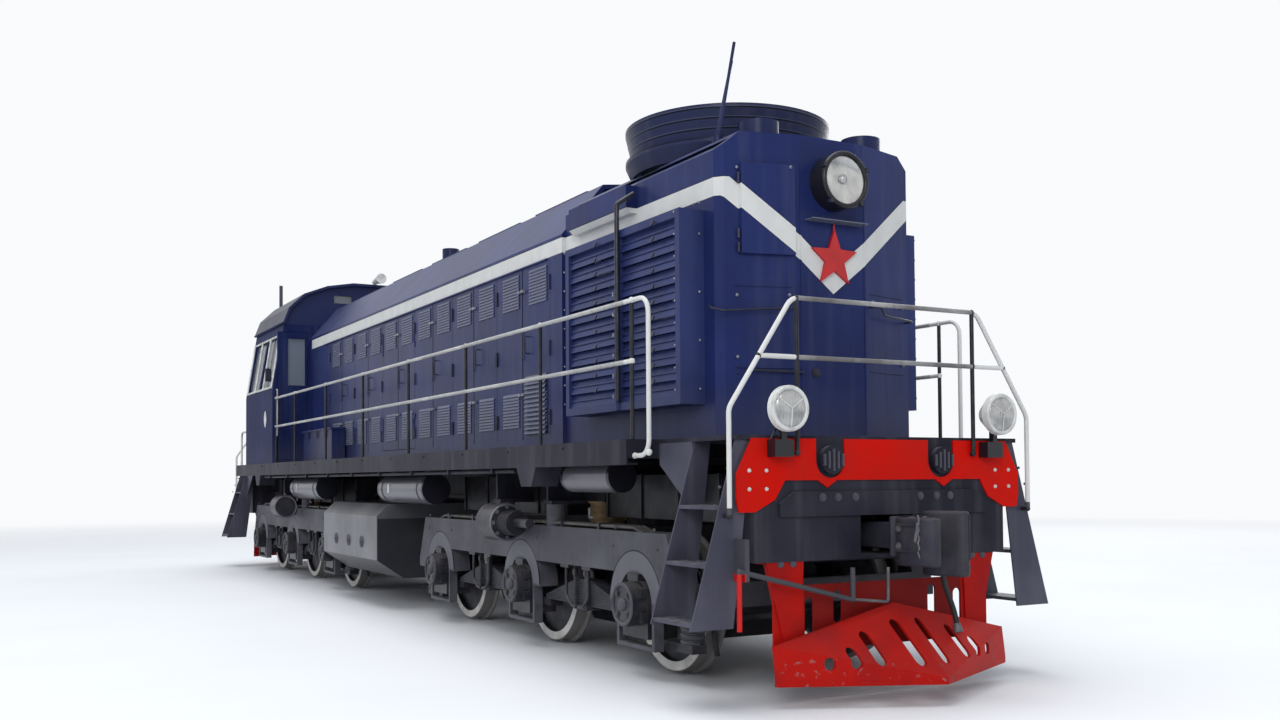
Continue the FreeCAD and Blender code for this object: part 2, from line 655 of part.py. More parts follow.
def outline_sketch(body, axis, outline):
    """Closed polygon sketch across an axis, each corner bound to its formulas."""
    sketch = body.newObject("Sketcher::SketchObject", "Outline")
    sketch.AttachmentSupport = (origin_plane(body, PLANES[axis]), [""])
    sketch.MapMode = "FlatFace"
    corners = [(as_size(a), as_size(b)) for a, b in outline]
    count = len(corners)
    for index in range(count):
        a, b = corners[index]
        c, d = corners[(index + 1) % count]
        start, end = Vector(a.value, b.value, 0), Vector(c.value, d.value, 0)
        sketch.addGeometry(Part.LineSegment(start, end), False)
    for index in range(count):
        following = (index + 1) % count
        sketch.addConstraint(Sketcher.Constraint("Coincident", index, 2, following, 1))
    for index, (a, b) in enumerate(corners):
        for kind, size in (("DistanceX", a), ("DistanceY", b)):
            number = sketch.addConstraint(
                Sketcher.Constraint(kind, -1, 1, index, 1, size.value))
            sketch.setExpression(f"Constraints[{number}]", size.formula)
    return sketch


def prism(axis, outline, span):
    """Polygon across an axis, drawn out between the two coordinates of span.

    The outline's pairs are (y, z) across X, (x, z) across Y and (x, y) across Z.
    """
    body = doc.addObject("PartDesign::Body", "Prism")
    sketch = outline_sketch(body, axis, outline)
    # the XZ plane faces -Y, so a pad on it starts at the high end
    start = -as_size(span[1]) if axis == "Y" else as_size(span[0])
    sketch.setExpression("AttachmentOffset.Base.z", start.formula)
    pad = body.newObject("PartDesign::Pad", "Pad")
    pad.Profile = sketch
    bind(pad, Length=as_size(span[1]) - span[0])
    return body


NODES = {}


def node(label, piece):
    """Register a finished sub-part under its own name."""
    piece.Label = label
    NODES[label] = piece


# ---------------------------------------------------------------- wheelsets
AXLE_Z = up(S.tread_radius)
COIL_OFFSET = S.tread_radius + S.flange_depth + S.coil_clearance


def wheelset(label, x):
    """Axle with both wheels, turned in one profile about its own Y axis."""
    body = doc.addObject("PartDesign::Body", "Wheelset")
    rim = S.back_half + S.rim_width
    hub_in, hub_out = S.back_half - S.hub_overhang, rim + S.hub_overhang
    web_in = S.back_half + (S.rim_width - S.web_thickness) / 2
    web_out = web_in + S.web_thickness
    rim_inside = S.tread_radius - S.rim_depth
    half = [
        (hub_in, S.axle_radius), (hub_in, S.hub_radius), (web_in, S.hub_radius),
        (web_in, rim_inside), (S.back_half, rim_inside),
        (S.back_half, S.tread_radius + S.flange_depth),
        (S.back_half + S.flange_width / 2, S.tread_radius + S.flange_depth),
        (S.back_half + S.flange_width, S.tread_radius), (rim, S.tread_radius),
        (rim, rim_inside), (web_out, rim_inside), (web_out, S.hub_radius),
        (hub_out, S.hub_radius), (hub_out, S.journal_radius),
        (S.journal_half, S.journal_radius), (S.journal_half, as_size(0)),
    ]
    profile = [(-y, r) for y, r in reversed(half)] + half
    sketch = outline_sketch(body, "X", profile)
    turning = body.newObject("PartDesign::Revolution", "Turning")
    turning.Profile = sketch
    turning.ReferenceAxis = (sketch, ["H_Axis"])
    turning.Angle = 360
    place(body, x, 0, AXLE_Z)
    node(label, body)


# ---------------------------------------------------------------- bogies
def bogie(name, side):
    """Three-axle bogie; side is +1 in front and -1 behind."""
    def at(offset):
        return side * (S.bogie_half + offset)

    def run(low, high):
        return turned(side, S.bogie_half + low, S.bogie_half + high)

    offsets = [S.axle_pitch * step for step in (-1, 0, 1)]
    for step, offset in enumerate(offsets):
        wheelset(f"wheelset_{name}_{step + 1}", at(offset))
    bogie_frame(name, at, run, offsets)
    axle_boxes(name, at, run, offsets)
    springs(name, at, run, offsets)
    traction_motors(name, at, run)
    brake_gear(name, at, run)


def bogie_frame(name, at, run, offsets):
    pieces = []
    beam_z = (up(S.beam_bottom), up(S.beam_top))
    beam_x = run(-S.beam_end, S.beam_end)
    for side in (1, -1):
        beam_y = turned(side, S.beam_inner, S.beam_outer)
        pieces.append(box(beam_x, beam_y, beam_z))
        for offset in offsets:
            pieces.append(horn_guide(at(offset), beam_y, side))
        for place_along in (-1, 1):
            centre = (at(S.bearer_offset * place_along),
                      side * (S.beam_inner + S.beam_outer) / 2)
            pieces.append(drum("Z", S.bearer_radius,
                               (up(S.beam_top), up(S.bearer_top)), centre))
    inside = (-S.beam_inner, S.beam_inner)
    for low, high in ((S.transom_near, S.transom_far), (-S.transom_far, -S.transom_near)):
        pieces.append(box(run(low, high), inside, (up(S.transom_bottom), up(S.beam_top))))
    bracket_low = AXLE_Z - S.box_foot + S.coil_height
    headstock_z = (bracket_low, bracket_low + S.headstock_height)
    bracket_end = S.axle_pitch + COIL_OFFSET + S.coil_radius
    for low in (bracket_end - S.headstock_width, -bracket_end):
        pieces.append(box(run(low, low + S.headstock_width), inside, headstock_z))
    neck = S.axle_pitch + S.horn_radius - S.horn_wall / 2
    for side in (1, -1):
        for end in (1, -1):
            outline = ((neck, bracket_low), (bracket_end, bracket_low),
                       (bracket_end, bracket_low + S.bracket_depth),
                       (S.beam_end, up(S.beam_top)), (neck, up(S.beam_top)))
            points = [(at(end * x), z) for x, z in outline]
            pieces.append(prism("Y", points, turned(side, S.beam_inner, S.beam_outer)))
            cap_y = turned(side, S.leaf_inner - S.leaf_tip / 2, S.beam_inner)
            cap_x = turned(end, S.axle_pitch + COIL_OFFSET - S.coil_radius, bracket_end)
            pieces.append(box(run(*cap_x), cap_y,
                              (bracket_low, bracket_low + S.bracket_depth)))
    pieces.append(box(run(-S.transom_near, S.transom_near),
                      (-S.pivot_beam_half, S.pivot_beam_half),
                      (up(S.pivot_beam_bottom), up(S.pivot_beam_top))))
    bore = drum("Z", S.pivot_radius + S.gap_running,
                (up(S.pivot_beam_bottom) - 1, up(S.pivot_beam_top) + 1), (at(0), 0))
    node(f"bogie_frame_{name}", cut(fuse(*pieces), bore))


def horn_guide(x, beam_y, side):
    """Arch over an axle box with its two legs and the tie bar under the box."""
    inner = S.horn_radius - S.horn_wall
    ring = tube("Y", S.horn_radius, S.horn_wall, beam_y, (x, AXLE_Z))
    below = box((x - S.horn_radius - 1, x + S.horn_radius + 1),
                (beam_y[0] - 1, beam_y[1] + 1),
                (AXLE_Z - S.horn_radius - 1, AXLE_Z))
    leg_y = turned(side, S.beam_outer - 80, S.beam_outer)
    pieces = [cut(ring, below)]
    leg_z = (AXLE_Z - S.horn_foot, AXLE_Z)
    pieces.append(box((x - inner - S.horn_leg, x - inner), leg_y, leg_z))
    pieces.append(box((x + inner, x + inner + S.horn_leg), leg_y, leg_z))
    pieces.append(box((x - inner - S.horn_leg, x + inner + S.horn_leg), leg_y,
                      (leg_z[0] - S.tie_thickness, leg_z[0])))
    return fuse(*pieces)


def axle_boxes(name, at, run, offsets):
    boxes = []
    for offset in offsets:
        x = at(offset)
        for side in (1, -1):
            box_y = turned(side, S.box_inner, S.box_outer)
            cover_y = turned(side, S.box_outer, S.box_outer + S.cover_length)
            wing_y = turned(side, S.leaf_inner, S.leaf_inner + S.leaf_width)
            pieces = [
                drum("Y", S.box_half, box_y, (x, AXLE_Z)),
                box((x - S.box_half, x + S.box_half), box_y, (AXLE_Z - S.box_foot, AXLE_Z)),
                drum("Y", S.cover_radius, cover_y, (x, AXLE_Z))]
            for way in (-1, 1):
                outermost = offset.value * way > 0
                # leaf springs rest on high seats, the end coils on low ones
                reach = COIL_OFFSET + S.coil_radius if outermost else (
                    S.box_half + S.wing_length)
                seat = AXLE_Z - (S.box_foot if outermost else S.wing_drop)
                wing_x = turned(way, S.box_half - 10, reach)
                pieces.append(box(run(offset + wing_x[0], offset + wing_x[1]), wing_y,
                                  (seat - S.wing_thickness, seat)))
            solid = fuse(*pieces)
            bore_y = turned(side, S.box_inner - 1, S.journal_half + 1)
            boxes.append(cut(solid, drum("Y", S.journal_radius + S.gap_running,
                                         bore_y, (x, AXLE_Z))))
    node(f"axle_boxes_{name}", group(*boxes))


def springs(name, at, run, offsets):
    """Leaf springs between the axles in their hangers, coils at the bogie's ends."""
    pieces = []
    seat = AXLE_Z - S.wing_drop
    leaf_half = S.axle_pitch / 2 - S.box_half - S.wing_length + S.leaf_overlap
    for middle in (-S.axle_pitch / 2, S.axle_pitch / 2):
        x = at(middle)
        for side in (1, -1):
            leaf_y = turned(side, S.leaf_inner, S.leaf_inner + S.leaf_width)
            outline = ((x - leaf_half, seat), (x + leaf_half, seat),
                       (x + leaf_half, seat + S.leaf_tip),
                       (x + S.hanger_half, seat + S.leaf_height),
                       (x - S.hanger_half, seat + S.leaf_height),
                       (x - leaf_half, seat + S.leaf_tip))
            leaf = prism("Y", outline, leaf_y)
            rod_y = turned(side, S.leaf_inner + S.leaf_width,
                           S.leaf_inner + S.leaf_width + S.hanger_rod)
            low = seat - S.hanger_rod
            rods = [box((x + end - S.hanger_rod, x + end), rod_y, (low, up(S.beam_bottom)))
                    for end in (-S.hanger_half + S.hanger_rod, S.hanger_half)]
            sling_y = turned(side, S.leaf_inner, S.leaf_inner + S.leaf_width + S.hanger_rod)
            sling = box((x - S.hanger_half, x + S.hanger_half), sling_y, (low, seat))
            pieces.append(fuse(leaf, sling, *rods))
    for end in (-1, 1):
        x = at(end * (S.axle_pitch + COIL_OFFSET))
        for side in (1, -1):
            centre = (x, side * (S.leaf_inner + S.leaf_width / 2))
            low = AXLE_Z - S.box_foot
            pieces.append(drum("Z", S.coil_radius, (low, low + S.coil_height), centre))
    node(f"springs_{name}", group(*pieces))


def traction_motors(name, at, run):
    """Motors hung on their axles, each nose on a transom."""
    motors = []
    across = (-S.motor_half, S.motor_half)
    bearing = S.axle_radius + S.gap_running + S.bearing_wall
    low, high = up(S.motor_bottom), up(S.motor_top)
    # axle offset, way from the axle to the transom that holds the nose, gap between
    for offset, way, nose_x in ((-S.axle_pitch, 1, -S.transom_far),
                                (as_size(0), 1, S.transom_near),
                                (S.axle_pitch, -1, S.transom_far)):
        near, far = at(offset), at(nose_x)
        forward = near.value < far.value
        x = (near, far) if forward else (far, near)
        corner = S.motor_corner
        outline = ((x[0] + corner, low), (x[1] - corner, low), (x[1], low + corner),
                   (x[1], high - corner), (x[1] - corner, high), (x[0] + corner, high),
                   (x[0], high - corner), (x[0], low + corner))
        motor = prism("Y", outline, across)
        bearing_drum = drum("Y", bearing, across, (near, AXLE_Z))
        bore = drum("Y", S.axle_radius + S.gap_running,
                    (-S.motor_half - 1, S.motor_half + 1), (near, AXLE_Z))
        motors.append(cut(fuse(motor, bearing_drum), bore))
    node(f"traction_motors_{name}", group(*motors))


def brake_gear(name, at, run):
    """Shoes at the wheels' inner sides, their hangers, and the brake cylinders."""
    pieces = []
    rim_y = (S.back_half + S.flange_width + 8, S.back_half + S.rim_width)
    shoe_face = S.tread_radius + S.shoe_gap
    for offset, way in ((-S.axle_pitch, 1), (as_size(0), -1), (S.axle_pitch, -1)):
        x = at(offset)
        for side in (1, -1):
            shoe_y = turned(side, *rim_y)
            low = S.bogie_half + offset + way * (shoe_face - 60)
            high = S.bogie_half + offset + way * (shoe_face + S.shoe_thickness)
            span = (low, high) if way > 0 else (high, low)
            mirror = 1 if at(1).value > 0 else -1
            block = box(turned(mirror, *span), shoe_y,
                        (AXLE_Z - S.shoe_half_height, AXLE_Z + S.shoe_half_height))
            shoe = cut(block, drum("Y", shoe_face, (shoe_y[0] - 1, shoe_y[1] + 1),
                                   (x, AXLE_Z)))
            near = S.bogie_half + offset + way * (shoe_face + S.shoe_thickness)
            far = S.bogie_half + offset + way * (shoe_face + S.shoe_thickness
                                                 + S.brake_hanger)
            bar_x = turned(mirror, *((near, far) if way > 0 else (far, near)))
            top = up(S.beam_top)
            hanger = box(bar_x, shoe_y, (AXLE_Z - S.brake_hanger, top - 60))
            arm = box(bar_x, turned(side, S.back_half + S.rim_width, S.beam_inner),
                      (top - 160, top - 60))
            pieces.append(fuse(shoe, hanger, arm))
    for side in (1, -1):
        rear = S.brake_drum_x - S.brake_drum_length
        boot = S.brake_drum_x + S.brake_boot_length
        cross = (side * S.brake_drum_y, up(S.brake_drum_z))
        cylinder = drum("X", S.brake_drum_radius, run(rear, S.brake_drum_x), cross)
        sleeve = drum("X", S.brake_boot_radius, run(S.brake_drum_x - 1, boot), cross)
        rod = drum("X", S.brake_rod_radius, run(boot - 1, boot + S.brake_rod_length), cross)
        middle = S.brake_drum_x - S.brake_drum_length / 2
        half = S.brake_hanger
        bracket = box(run(middle - half, middle + half),
                      turned(side, S.beam_outer, S.brake_drum_y),
                      (up(S.beam_top) - S.brake_boot_radius, up(S.beam_top)))
        pieces.append(fuse(cylinder, sleeve, rod, bracket))
    node(f"brake_gear_{name}", group(*pieces))


# ---------------------------------------------------------------- underframe
def underframe():
    inner_end = END_X - S.end_plate
    corners = ((NOTCH_X, S.deck_half), (NOTCH_X, S.deck_end_half),
               (inner_end, S.deck_end_half))
    right_way = [(x, -y) for x, y in corners]
    front = right_way + [(x, y) for x, y in reversed(corners)]
    rear = [(-x, -y) for x, y in front]
    pieces = [prism("Z", front + rear, (UNDER_DECK, DECK_TOP))]
    sill_low = DECK_TOP - S.sill_height
    length = (-NOTCH_X, NOTCH_X)
    for side in (1, -1):
        web_y = turned(side, S.deck_half - S.sill_web, S.deck_half)
        flange_y = turned(side, S.deck_half - S.sill_flange, S.deck_half)
        pieces.append(box(length, web_y, (sill_low, UNDER_DECK)))
        pieces.append(box(length, flange_y, (sill_low, sill_low + S.sill_web)))
        # main beam: web and two flanges
        beam = (S.spine_inset - END_X, END_X - S.spine_inset)
        half_web, half_flange = S.spine_web / 2, S.spine_flange / 2
        middle = side * S.spine_y
        low = up(S.spine_bottom)
        pieces.append(box(beam, (middle - half_web, middle + half_web), (low, UNDER_DECK)))
        for bottom in (low, UNDER_DECK - S.spine_flange_thickness):
            pieces.append(box(beam, (middle - half_flange, middle + half_flange),
                              (bottom, bottom + S.spine_flange_thickness)))
    reach = S.deck_half - S.sill_web
    for step in range(-6, 7):
        x = NOTCH_X * step / 6
        if step == 6:
            x = x - S.cross_thickness
        pieces.append(box((x, x + S.cross_thickness), (-reach, reach),
                          (sill_low + S.cross_lift, UNDER_DECK)))
    for end in (1, -1):
        for side in (1, -1):
            middle = end * (S.bogie_half + S.pad_offset)
            foot = sill_low - S.pad_drop
            pad = ((middle - S.pad_foot, foot), (middle + S.pad_foot, foot),
                   (middle + S.pad_half, sill_low + S.sill_web),
                   (middle - S.pad_half, sill_low + S.sill_web))
            pieces.append(prism("Y", pad, turned(side, S.deck_half - S.pad_width,
                                                 S.deck_half)))
        pieces.extend(bolster(end))
        pieces.append(end_beam(end, inner_end))
    node("underframe", fuse(*pieces))


def bolster(end):
    """Box over a bogie: plates across, bearer pads and the pivot pin."""
    pieces = []
    low = up(S.spine_bottom)
    pad_low = up(S.bearer_top) + S.gap_seat
    pad_y = (S.beam_inner + S.beam_outer) / 2
    for way in (-1, 1):
        middle = S.bogie_half + S.bearer_offset * way
        half = S.bearer_radius
        x = turned(end, middle - half, middle + half)
        pieces.append(box(x, (-pad_y - half, pad_y + half),
                          (pad_low, pad_low + S.bolster_thickness)))
        rib = turned(end, middle - S.bolster_thickness / 2, middle + S.bolster_thickness / 2)
        pieces.append(box(rib, (-pad_y - half, pad_y + half), (pad_low, UNDER_DECK)))
    x = turned(end, S.bogie_half - S.bearer_offset, S.bogie_half + S.bearer_offset)
    inside = S.spine_y + S.spine_flange / 2
    pieces.append(box(x, (-inside, inside), (low, low + S.bolster_thickness)))
    pieces.append(drum("Z", S.pivot_radius, (low - S.pivot_length, low + 1),
                       (end * S.bogie_half, 0)))
    return pieces


def end_beam(end, inner_end):
    """Deep beam behind the end plate with the coupler's pocket through it."""
    half = S.end_beam_half
    x = turned(end, inner_end - S.end_beam_depth, inner_end)
    block = box(x, (-half, half), (up(S.end_beam_bottom), UNDER_DECK))
    through = turned(end, inner_end - S.end_beam_depth - 1, inner_end + 1)
    pocket = box(through, (-S.pocket_half, S.pocket_half),
                 (up(S.pocket_bottom), up(S.pocket_top)))
    opened = cut(block, pocket)
    beam_side = S.spine_y - S.spine_flange / 2
    floor_low = up(S.pocket_bottom) - S.pocket_floor * 2
    pin = drum("Z", S.coupler_pin_radius, (floor_low, UNDER_DECK), (end * PIN_X, 0))
    behind = PIN_X - S.pin_web_offset
    floor = box(turned(end, behind, inner_end - S.end_beam_depth),
                (-beam_side - S.spine_flange, beam_side + S.spine_flange),
                (floor_low, floor_low + S.pocket_floor))
    web = box(turned(end, behind, behind + S.pin_web), (-beam_side, beam_side),
              (floor_low, UNDER_DECK))
    shield_half = ((S.shield_half, S.shield_bottom), (S.shield_half, S.shield_side),
                   (S.shield_half - S.shield_bevel, S.shield_top))
    outline = [(y, up(z)) for y, z in shield_half]
    outline += [(-y, z) for y, z in reversed(outline)]
    shield = prism("X", outline, turned(end, inner_end - 1, inner_end + S.shield_plate))
    bosses = [drum("X", S.boss_radius, turned(end, inner_end - 1, END_X + S.boss_out),
                   (side * S.port_y, up(S.port_height))) for side in (1, -1)]
    return fuse(opened, floor, pin, web, shield, *bosses)


# ---------------------------------------------------------------- ends
def end_plates():
    plate_x = (END_X - S.end_plate, END_X)
    top, middle = DECK_TOP - S.end_plate_drop, up(S.end_plate_middle)
    bottom = up(S.end_plate_bottom)
    lobe, dip = S.lobe_inner, S.dip_y
    outline = [(S.end_plate_top_half, top),
               (S.end_plate_half, up(S.plate_shoulder)), (S.end_plate_half, up(S.plate_hip)),
               (S.end_plate_half - S.plate_corner, bottom), (lobe + S.lobe_width, bottom),
               (lobe, bottom + S.lobe_rise), (lobe - S.lobe_step, middle),
               (dip + S.dip_half, middle), (dip, middle - S.dip_depth),
               (dip - S.dip_half, middle)]
    outline += [(-y, z) for y, z in reversed(outline)]
    plate = prism("X", outline, plate_x)
    through = (END_X - S.end_plate - 1, END_X + 1)
    ports = []
    for side in (1, -1):
        ports.append(drum("X", S.port_radius, through, (side * S.port_y, up(S.port_height))))
        ports.append(box(through, turned(side, S.port_y - S.port_radius,
                                         S.port_y + S.port_radius),
                         (up(S.port_height), top + 1)))
    node("end_plates", both_ends(cut(plate, *ports)))


# distance of a slot's middle from the centreline, its lower and upper ends
PLOUGH_SLOTS = (
    ("centre", 105, 225, 500),
    ("inner", 370, 235, 437),
    ("outer", 530, 220, 350),
    ("corner", 690, 215, 297),
)
# the same for the slots of the back plate
BACK_SLOTS = (
    ("near", 420, 480, 700),
    ("far", 660, 360, 660),
)


def slots(table, x):
    """Upright slots with round ends on both sides of the centreline."""
    tools = []
    for name, y, low, high in table:
        for side in (1, -1):
            middle, half = side * as_size(y), S.slot_half
            ends = (up(as_size(low)) + half, up(as_size(high)) - half)
            tools += [drum("X", half, x, (middle, z)) for z in ends]
            tools.append(box(x, (middle - half, middle + half), ends))
    return tools


def ploughs():
    """Pointed slotted board on a back plate, hung on two arms under the end beam."""
    corner_x = END_X + S.plough_stand
    nose_x, lean_x = corner_x + S.plough_reach, corner_x - S.plough_lean
    lip_z, corner_z = up(S.plough_bottom + S.plough_lip), up(S.plough_corner_top)
    board = doc.addObject("Part::Feature", "PloughBoard")
    plates = []
    back = Vector(-2 * S.plough_plate.value, 0, 0)
    for side in (1, -1):
        half = side * S.plough_half.value
        nose, corner = Vector(nose_x.value, 0, lip_z.value), Vector(
            corner_x.value, half, lip_z.value)
        shoulder = Vector(lean_x.value, half, corner_z.value)
        apex = Vector(lean_x.value, 0, up(S.plough_apex).value)
        drop = Vector(0, 0, -S.plough_lip.value)
        for points in ((nose, corner, shoulder), (nose, shoulder, apex),
                       (nose, corner, corner + drop, nose + drop)):
            face = Part.Face(Part.makePolygon(list(points) + [points[0]]))
            plates.append(face.extrude(back))
    board.Shape = plates[0].fuse(plates[1:]).removeSplitter()
    slotted = cut(board, *slots(PLOUGH_SLOTS, (corner_x - S.plough_lean, nose_x)))
    back_x = (END_X - S.plough_back_inset - S.plough_plate, END_X - S.plough_back_inset)
    low, high = up(S.plough_back_low), up(S.plough_back_top)
    sheet_half = S.plough_back_half
    back_plate = cut(box(back_x, (-sheet_half, sheet_half), (low, high)),
                     *slots(BACK_SLOTS, (back_x[0] - 1, back_x[1] + 1)))
    top = up(S.end_beam_bottom)
    pieces = [slotted, back_plate]
    for side in (1, -1):
        outline = ((S.arm_outer, top), (S.arm_inner, top),
                   (S.arm_foot_inner, low), (S.arm_foot_outer, low))
        pieces.append(prism("X", [(side * y, z) for y, z in outline],
                            (back_x[0] - S.plough_plate, back_x[1] + S.plough_plate)))
        pieces.append(box((back_x[0] - S.arm_flange, back_x[1]),
                          turned(side, S.arm_inner, S.arm_outer),
                          (top - S.plough_plate, top)))
        rib_y = turned(side, S.arm_foot_outer - S.plough_plate, S.arm_foot_outer)
        pieces.append(box((back_x[0], corner_x), rib_y, (low, corner_z)))
    node("ploughs", both_ends(fuse(*pieces)))


def corner_steps():
    """Two flared cheek plates with treads between them at each corner."""
    foot, neck = up(S.cheek_foot), up(S.end_plate_bottom)
    slope = (S.cheek_foot_half - S.cheek_top_half) / (DECK_TOP - foot)
    outline = ((S.cheek_foot_half, foot), (S.cheek_top_half, UNDER_DECK),
               (S.end_beam_half, UNDER_DECK),
               (S.cheek_foot_half - S.cheek_foot_width, foot))
    outer_x, inner_x = END_X - S.cheek_front_inset, END_X - S.cheek_rear_inset
    pieces = [prism("X", outline, (outer_x - S.cheek, outer_x)),
              prism("X", outline, (inner_x - S.cheek, inner_x))]
    for step in range(int(S.tread_count.value)):
        level = foot + S.tread_rise + S.tread_pitch * step
        outer = S.cheek_foot_half - slope * (level + S.tread_thickness - foot)
        pieces.append(box((inner_x, outer_x - S.cheek), (outer - S.tread_depth, outer),
                          (level, level + S.tread_thickness)))
    gusset = prism("Y", ((NOTCH_X, DECK_TOP - S.sill_height), (inner_x - S.cheek, neck),
                         (inner_x - S.cheek, UNDER_DECK), (NOTCH_X, UNDER_DECK)),
                   (S.deck_end_half - S.cheek, S.deck_end_half))
    node("corner_steps", both_ends(both_sides(fuse(*pieces, gusset))))


def couplers():
    for name, end in (("front", 1), ("rear", -1)):
        z = up(S.coupler_height)
        shank = box(turned(end, PIN_X - S.coupler_eye + 10, COUPLING_X - S.head_length),
                    (-S.shank_half, S.shank_half),
                    (z - S.shank_half_height, z + S.shank_half_height))
        eye = drum("Z", S.coupler_eye,
                   (z - S.shank_half_height, z + S.shank_half_height),
                   (end * PIN_X, 0))
        front, back = COUPLING_X, COUPLING_X - S.head_length
        half = S.head_half
        # big jaw on one side, small jaw on the other, throat between
        outline = [(back, -half * 0.55), (back + 90, -half), (front - 90, -half),
                   (front, -half * 0.75), (front, -half * 0.35),
                   (front - S.throat, -half * 0.2), (front - S.throat, half * 0.35),
                   (front - 20, half * 0.75), (front - 60, half * 1.15),
                   (back + 110, half * 1.1), (back, half * 0.55)]
        if end < 0:
            outline = [(-x, -y) for x, y in outline]
        head = prism("Z", outline, (z - S.head_half_height, z + S.head_half_height))
        bore = drum("Z", S.coupler_pin_radius + S.gap_running,
                    (z - S.head_half_height, z + S.head_half_height),
                    (end * PIN_X, 0))
        node(f"coupler_{name}", cut(fuse(shank, eye, head), bore))


# ---------------------------------------------------------------- handrails
def bar_between(start, end, radius=S.rail_bar / 2):
    """Straight round bar between two points."""
    a = Vector(*(as_size(v).value for v in start))
    b = Vector(*(as_size(v).value for v in end))
    bar = doc.addObject("Part::Cylinder", "Bar")
    bar.Placement = Placement(a, Rotation(Vector(0, 0, 1), b - a))
    dx, dy, dz = (as_size(e) - as_size(s) for s, e in zip(start, end))
    bind(bar, Radius=radius)
    bar.setExpression("Height", f"sqrt({dx.formula}^2 + {dy.formula}^2 + {dz.formula}^2)")
    place(bar, *start)
    return bar


def ball(centre):
    knot = doc.addObject("Part::Sphere", "Knot")
    bind(knot, Radius=S.rail_bar / 2 + 1)
    place(knot, *centre)
    return knot


def rail_run(points):
    """Round bar through points, with a rounded joint at each bend."""
    pieces = [bar_between(a, b) for a, b in zip(points, points[1:])]
    pieces += [ball(point) for point in points[1:-1]]
    return pieces


def post(x, y, foot, levels):
    """Upright bar with a knot at each level where a long bar crosses it."""
    pieces = [bar_between((x, y, foot), (x, y, levels[0]))]
    return pieces + [ball((x, y, level)) for level in levels]


def side_handrails():
    """Two bars and posts along each walkway, and a low bar behind the cab."""
    y, bend = S.rail_y, S.rail_bend
    top, middle = up(S.rail_top_height), up(S.rail_mid_height)
    stop, front = NOTCH_X - S.rail_bar, NOTCH_X + S.rail_reach
    # the top bar turns down ahead of the step recess and back to the sill's end
    foot = up(S.rail_foot)
    pieces = rail_run([(CAB_FRONT, y, top), (front - bend, y, top), (front, y, top - bend),
                       (front, y, foot), (NOTCH_X, y, foot)])
    pieces += rail_run([(CAB_FRONT, y, middle), (stop, y, middle)])
    posts = [CAB_FRONT + S.rail_bar, stop]
    posts += [NOTCH_X - S.rail_post_margin - S.rail_post_pitch * step
              for step in range(int(S.rail_post_count.value))]
    for x in posts:
        pieces += post(x, y, DECK_TOP, (top, middle))
    rear = S.rear_rail_inset - NOTCH_X
    back = rail_run([(CAB_REAR, y, middle), (rear + bend, y, middle),
                     (rear, y, middle - bend), (rear, y, DECK_TOP)])
    back += post(CAB_REAR - S.rail_bar, y, DECK_TOP, (middle,))
    node("side_handrails", both_sides(group(fuse(*pieces), fuse(*back))))


def end_handrails():
    """Bent rail across each end, carried on the step cheeks and the end plate."""
    x = END_X + S.end_rail_out
    foot, knee = up(S.end_rail_foot), up(S.end_rail_knee)
    top, middle = up(S.end_rail_top), up(S.end_rail_mid)
    low, high, inner = S.end_rail_half, S.end_rail_top_half, S.end_post_half
    span = top - knee
    side_y = low - (low - high) * (middle - knee) / span
    pieces = rail_run([(x, -low, foot), (x, -low, knee), (x, -high, top), (x, high, top),
                       (x, low, knee), (x, low, foot)])
    pieces += rail_run([(x, -side_y, middle), (x, side_y, middle)])
    post_foot = DECK_TOP - S.end_post_drop
    cheek_x = END_X - S.cheek_front_inset
    lug = S.rail_bar / 2 - 3
    for side in (1, -1):
        pieces += post(x, side * inner, post_foot, (top, middle))
        pieces.append(ball((x, side * side_y, middle)))
        for lug_x, y, z in ((END_X, inner, post_foot), (cheek_x, low, foot)):
            pieces.append(ball((x, side * y, z)))
            pieces.append(drum("X", lug, (lug_x, x), (side * y, z)))
    node("end_handrails", both_ends(fuse(*pieces)))


